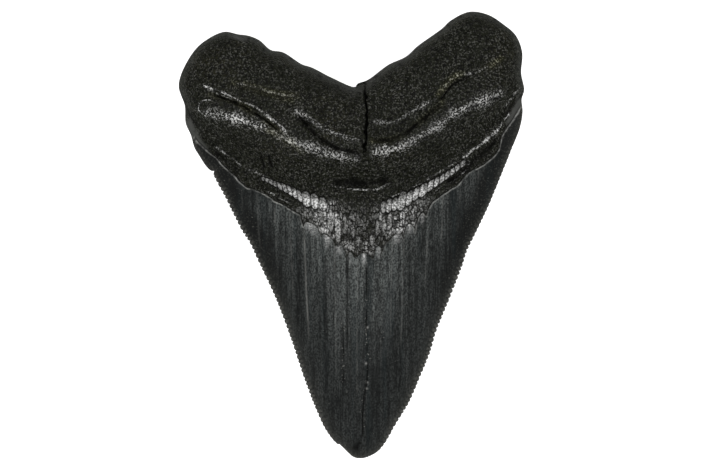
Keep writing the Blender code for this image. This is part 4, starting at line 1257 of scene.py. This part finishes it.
# Places and joins the nodes of one material.
class NodeSheet:
    def __init__(self, name):
        self.material = bpy.data.materials.new(name)
        self.material.use_nodes = True
        self.nodes = self.material.node_tree.nodes
        self.links = self.material.node_tree.links
        self.shader = self.nodes["Principled BSDF"]
        self.coordinates = self.nodes.new("ShaderNodeTexCoord").outputs["Object"]

    def feed(self, socket, value):
        if hasattr(value, "links"):
            self.links.new(value, socket)
        elif isinstance(value, tuple):
            socket.default_value = (*value, 1.0)
        else:
            socket.default_value = value

    # The values that the mesh carries at its points, by name.
    def values(self, *names):
        outputs = []
        for name in names:
            node = self.nodes.new("ShaderNodeAttribute")
            node.attribute_name = name
            outputs.append(node.outputs["Fac"])
        return outputs

    def math(self, operation, a, b=0.0, clamp=False):
        node = self.nodes.new("ShaderNodeMath")
        node.operation = operation
        node.use_clamp = clamp
        self.feed(node.inputs[0], a)
        self.feed(node.inputs[1], b)
        return node.outputs[0]

    def times(self, a, b, clamp=False):
        return self.math("MULTIPLY", a, b, clamp)

    def plus(self, a, b):
        return self.math("ADD", a, b)

    def rest(self, share):
        return self.math("SUBTRACT", 1.0, share)

    def mixed(self, share, a, b):
        node = self.nodes.new("ShaderNodeMix")
        node.data_type = "RGBA"
        self.feed(node.inputs[0], share)
        self.feed(node.inputs[6], a)
        self.feed(node.inputs[7], b)
        return node.outputs[2]

    def level(self, share, a, b):
        node = self.nodes.new("ShaderNodeMix")
        self.feed(node.inputs[0], share)
        self.feed(node.inputs[2], a)
        self.feed(node.inputs[3], b)
        return node.outputs[0]

    def stretched(self, scale):
        node = self.nodes.new("ShaderNodeMapping")
        node.inputs["Scale"].default_value = scale
        self.links.new(self.coordinates, node.inputs["Vector"])
        return node.outputs[0]

    def noise(self, scale, detail, roughness, stretch=None):
        vector = self.stretched(stretch) if stretch else self.coordinates
        node = self.nodes.new("ShaderNodeTexNoise")
        node.inputs["Scale"].default_value = scale
        node.inputs["Detail"].default_value = detail
        node.inputs["Roughness"].default_value = roughness
        self.links.new(vector, node.inputs["Vector"])
        return node.outputs["Fac"]

    def cells(self, scale):
        node = self.nodes.new("ShaderNodeTexVoronoi")
        node.inputs["Scale"].default_value = scale
        self.links.new(self.coordinates, node.inputs["Vector"])
        return node.outputs["Distance"]

    def spread(self, value, low, high):
        node = self.nodes.new("ShaderNodeMapRange")
        node.interpolation_type = "SMOOTHSTEP"
        self.feed(node.inputs["Value"], value)
        node.inputs["From Min"].default_value = low
        node.inputs["From Max"].default_value = high
        return node.outputs["Result"]


def fossilMaterial(look):
    sheet = NodeSheet("fossilTooth")
    rootSide, hollow, polish, worn, pale = sheet.values("rootSide", "hollow", "polish", "worn", "pale")
    shoulder, stria, margin, ridge, edge = sheet.values("shoulder", "stria", "margin", "ridge", "edge")
    dust, shade, oliveFold, rimBand, pebble = sheet.values("dust", "shade", "olive", "rimBand", "pebble")
    speckle = sheet.times(sheet.noise(*look["coarseSpeckle"]), 0.6)
    speckle = sheet.plus(speckle, sheet.times(sheet.noise(*look["fineSpeckle"]), 0.4))
    grainNoise = sheet.noise(*look["grainNoise"])
    patches = sheet.noise(*look["patches"])
    olivePatches = sheet.noise(*look["olivePatches"])
    hairs = sheet.noise(*look["hairs"])
    strands = sheet.noise(*look["strands"])
    dashes = sheet.noise(*look["dashes"])
    enamelGrain = sheet.noise(*look["enamelGrain"])
    bands = sheet.noise(*look["bands"])

    # Root: dark olive phosphate with paler ground and scattered bright grains, which thicken into white
    # painted glints along the crests and ridges.
    # The ground varies at random and is paler on the pebbles' tops as painted light.
    ground = sheet.plus(sheet.times(grainNoise, 0.6), sheet.times(pebble, 0.35))
    rootColour = sheet.mixed(sheet.spread(ground, 0.3, 0.75), look["rootDark"], look["rootPale"])
    olive = sheet.times(sheet.spread(olivePatches, 0.5, 0.68), sheet.spread(grainNoise, 0.42, 0.62))
    rootColour = sheet.mixed(sheet.times(olive, look["oliveShare"]), rootColour, look["rootOlive"])
    # Pits between the grains are painted dark as shade.
    pits = sheet.spread(sheet.cells(1900.0), 0.42, 0.72)
    rootColour = sheet.mixed(sheet.times(pits, look["pitShare"]), rootColour, look["hollowDark"])
    # The rim is painted paler as a reflection.
    rootColour = sheet.mixed(sheet.times(rimBand, look["rimShare"]), rootColour, look["rimGrey"])
    # Smooth shoulders are painted grey as a reflection.
    rootColour = sheet.mixed(sheet.times(shoulder, look["shoulderShare"]), rootColour, look["shoulderGrey"])
    rootColour = sheet.mixed(sheet.times(oliveFold, look["foldOliveShare"]), rootColour, look["foldOlive"])
    # The bright grains thicken into white painted glints along the crests and ridges.
    crisp = sheet.spread(worn, 0.06, 0.9)
    grains = sheet.spread(sheet.plus(speckle, sheet.times(crisp, 0.057)), 0.51, 0.64)
    grains = sheet.times(grains, sheet.level(shoulder, 1.0, 0.2))
    grains = sheet.times(grains, sheet.level(sheet.spread(patches, 0.36, 0.62), 0.55, 1.0))
    grainTone = sheet.mixed(crisp, look["grainBright"], look["grainWorn"])
    grainTone = sheet.mixed(sheet.times(oliveFold, look["grainOliveShare"]), grainTone, look["grainOlive"])
    rootColour = sheet.mixed(grains, rootColour, grainTone)

    # Enamel: near black, drawn out in fine pale hairs and wider teal bands, with the hairs painted out as
    # shade in the margins, on the flanks, toward the tip and in spots.
    streaks = sheet.plus(sheet.times(hairs, 0.4), sheet.times(strands, 0.5))
    streaks = sheet.plus(streaks, sheet.times(dashes, 0.3))
    streaks = sheet.plus(streaks, sheet.times(stria, 0.1))
    # In the margin the hairs are painted out as shade.
    streaks = sheet.times(sheet.spread(streaks, 0.42, 0.9), sheet.level(margin, 1.0, 0.12))
    # The crown's upper middle is painted lighter as light, and its flanks and tip darker as shade.
    streaks = sheet.times(streaks, sheet.level(ridge, look["flankShare"], 1.0))
    streaks = sheet.times(streaks, sheet.level(sheet.spread(enamelGrain, 0.36, 0.62), 0.3, 1.4))
    # Spots are painted darker as shade, and lighter as light where their share is below zero.
    streaks = sheet.times(streaks, sheet.rest(shade))
    enamelColour = sheet.mixed(streaks, look["enamelDark"], look["enamelPale"])
    teal = sheet.times(sheet.spread(bands, 0.52, 0.7), look["tealShare"])
    enamelColour = sheet.mixed(teal, enamelColour, look["enamelTeal"])
    marginOlive = sheet.times(sheet.spread(speckle, 0.53, 0.66), look["marginOliveShare"])
    enamelColour = sheet.mixed(sheet.times(margin, marginOlive), enamelColour, look["edgeOlive"])
    edgeShare = sheet.times(edge, sheet.level(sheet.spread(speckle, 0.4, 0.58), 0.45, 1.0))
    enamelColour = sheet.mixed(edgeShare, enamelColour, look["edgeOlive"])
    dustShare = sheet.times(dust, sheet.spread(speckle, 0.6, 0.67))
    dustShare = sheet.math("MAXIMUM", dustShare, sheet.times(sheet.spread(speckle, 0.68, 0.73), 0.35))
    enamelColour = sheet.mixed(dustShare, enamelColour, look["dustPale"])

    colour = sheet.mixed(rootSide, enamelColour, rootColour)
    # Scales, drips, net cells and finger tops are painted pale as highlights, palest in their middles.
    gloss = sheet.times(polish, sheet.level(sheet.spread(speckle, 0.42, 0.57), 0.18, 1.0))
    bright = sheet.mixed(sheet.spread(polish, 0.6, 1.0), look["polished"], look["polishedMiddle"])
    colour = sheet.mixed(gloss, colour, bright)
    colour = sheet.mixed(sheet.times(pale, look["paleShare"]), colour, look["wornPale"])
    # Hollows, gaps, grooves, pits and cracks are painted dark as shade.
    colour = sheet.mixed(sheet.times(hollow, look["hollowShare"]), colour, look["hollowDark"])
    sheet.feed(sheet.shader.inputs["Base Color"], colour)

    rough = sheet.level(rootSide, look["enamelRoughness"], look["rootRoughness"])
    rough = sheet.plus(rough, sheet.times(sheet.math("SUBTRACT", patches, 0.5), 0.22))
    rough = sheet.math("SUBTRACT", rough, sheet.times(worn, 0.08))
    rough = sheet.level(polish, rough, look["polishRoughness"])
    rough = sheet.level(hollow, rough, look["hollowRoughness"])
    sheet.feed(sheet.shader.inputs["Roughness"], rough)
    sheet.shader.inputs["Metallic"].default_value = 0.0
    sheet.shader.inputs["IOR"].default_value = 1.5
    sheet.shader.inputs["Specular IOR Level"].default_value = look["shine"]

    # A clear coat where the surface is polished: the scales, the crests and ridges with their painted glints
    # and, thinly, the enamel.
    coat = sheet.times(sheet.rest(rootSide), look["enamelCoat"])
    coat = sheet.plus(coat, sheet.times(gloss, look["polishCoat"]))
    coat = sheet.plus(coat, sheet.times(worn, look["grainCoat"]))
    coat = sheet.times(coat, sheet.rest(hollow), clamp=True)
    sheet.feed(sheet.shader.inputs["Coat Weight"], coat)
    sheet.shader.inputs["Coat Roughness"].default_value = look["coatRoughness"]
    sheet.shader.inputs["Coat IOR"].default_value = 1.5

    # Heights in metres go straight to the bump.
    grainHeight = sheet.times(sheet.cells(2500.0), -look["grainBump"])
    grainHeight = sheet.plus(grainHeight, sheet.times(speckle, look["fineBump"]))
    grainHeight = sheet.times(grainHeight, sheet.times(rootSide, sheet.level(shoulder, 1.0, 0.15)))
    grainHeight = sheet.times(grainHeight, sheet.level(polish, 1.0, 0.15))
    streakHeight = sheet.plus(sheet.times(hairs, 0.7), sheet.times(dashes, 0.5))
    streakHeight = sheet.times(streakHeight, look["enamelBump"])
    streakHeight = sheet.times(streakHeight, sheet.rest(rootSide))
    bump = sheet.nodes.new("ShaderNodeBump")
    bump.inputs["Distance"].default_value = 1.0
    sheet.feed(bump.inputs["Height"], sheet.plus(grainHeight, streakHeight))
    sheet.links.new(bump.outputs["Normal"], sheet.shader.inputs["Normal"])
    sheet.links.new(bump.outputs["Normal"], sheet.shader.inputs["Coat Normal"])
    return sheet.material


fossilTooth.data.materials.append(fossilMaterial(fossilFinish))
print("finish ready")


# Floor, light and camera, in metres.
studio = {
    "floorSize": 4.0,
    "floorColour": (0.82, 0.82, 0.82),
    "floorGlow": 1.0,
    "worldColour": (1.0, 1.0, 1.0),
    "worldStrength": 0.15,
    # Soft boxes as (name, angle off the vertical, compass turn from +X, distance, width, length, watts).
    "softBoxes": [
        ("leftLight", 37.0, 216.0, 0.8, 0.14, 0.14, 0.85),
        ("rightLight", 37.0, 324.0, 0.8, 0.14, 0.14, 0.85),
        ("lowLeftLight", 66.0, 184.0, 0.8, 0.2, 0.4, 0.8),
        ("lowRightLight", 66.0, 356.0, 0.8, 0.2, 0.4, 0.8),
        ("overheadLight", 18.0, 262.0, 0.95, 0.5, 0.3, 1.8),
        ("backLight", 52.0, 92.0, 0.8, 0.5, 0.2, 1.6),
    ],
    "cameraPlace": (0.00046, -0.00012, 0.905),
    "cameraLens": 228.8,
    "cameraSensor": 36.0,
}


def plainMaterial(name, colour, roughness, glow=0.0):
    material = bpy.data.materials.new(name)
    material.use_nodes = True
    shader = material.node_tree.nodes["Principled BSDF"]
    shader.inputs["Base Color"].default_value = (*colour, 1.0)
    shader.inputs["Roughness"].default_value = roughness
    shader.inputs["Emission Color"].default_value = (1.0, 1.0, 1.0, 1.0)
    shader.inputs["Emission Strength"].default_value = glow
    return material


def buildFloor():
    half = studio["floorSize"] / 2
    mesh = bpy.data.meshes.new("floor")
    corners = [(-half, -half, 0.0), (half, -half, 0.0), (half, half, 0.0), (-half, half, 0.0)]
    mesh.from_pydata(corners, [], [(0, 1, 2, 3)])
    mesh.materials.append(plainMaterial("paleFloor", studio["floorColour"], 0.6, studio["floorGlow"]))
    floor = bpy.data.objects.new("floor", mesh)
    floor.visible_glossy = False  # keeps the white out of the tooth's steep flanks
    bpy.context.scene.collection.objects.link(floor)
    return floor


def addSoftBox(name, tilt, turn, distance, width, length, watts):
    light = bpy.data.lights.new(name, "AREA")
    light.shape = "RECTANGLE"
    light.size = width
    light.size_y = length
    light.energy = watts
    box = bpy.data.objects.new(name, light)
    tilt = math.radians(tilt)
    turn = math.radians(turn)
    level = math.sin(tilt)
    outward = Vector((level * math.cos(turn), level * math.sin(turn), math.cos(tilt)))
    box.location = outward * distance
    box.rotation_euler = outward.to_track_quat("Z", "Y").to_euler()
    bpy.context.scene.collection.objects.link(box)


def addCamera():
    camera = bpy.data.cameras.new("camera")
    camera.lens = studio["cameraLens"]
    camera.sensor_width = studio["cameraSensor"]
    camera.clip_start = 0.01
    holder = bpy.data.objects.new("camera", camera)
    holder.location = studio["cameraPlace"]
    bpy.context.scene.collection.objects.link(holder)
    bpy.context.scene.camera = holder


buildFloor()
for softBox in studio["softBoxes"]:
    addSoftBox(*softBox)
addCamera()
world = bpy.data.worlds.new("studioWorld")
world.use_nodes = True
background = world.node_tree.nodes["Background"]
background.inputs["Color"].default_value = (*studio["worldColour"], 1.0)
background.inputs["Strength"].default_value = studio["worldStrength"]
bpy.context.scene.world = world
bpy.context.scene.view_settings.view_transform = "Standard"
print("floor, light and camera ready")
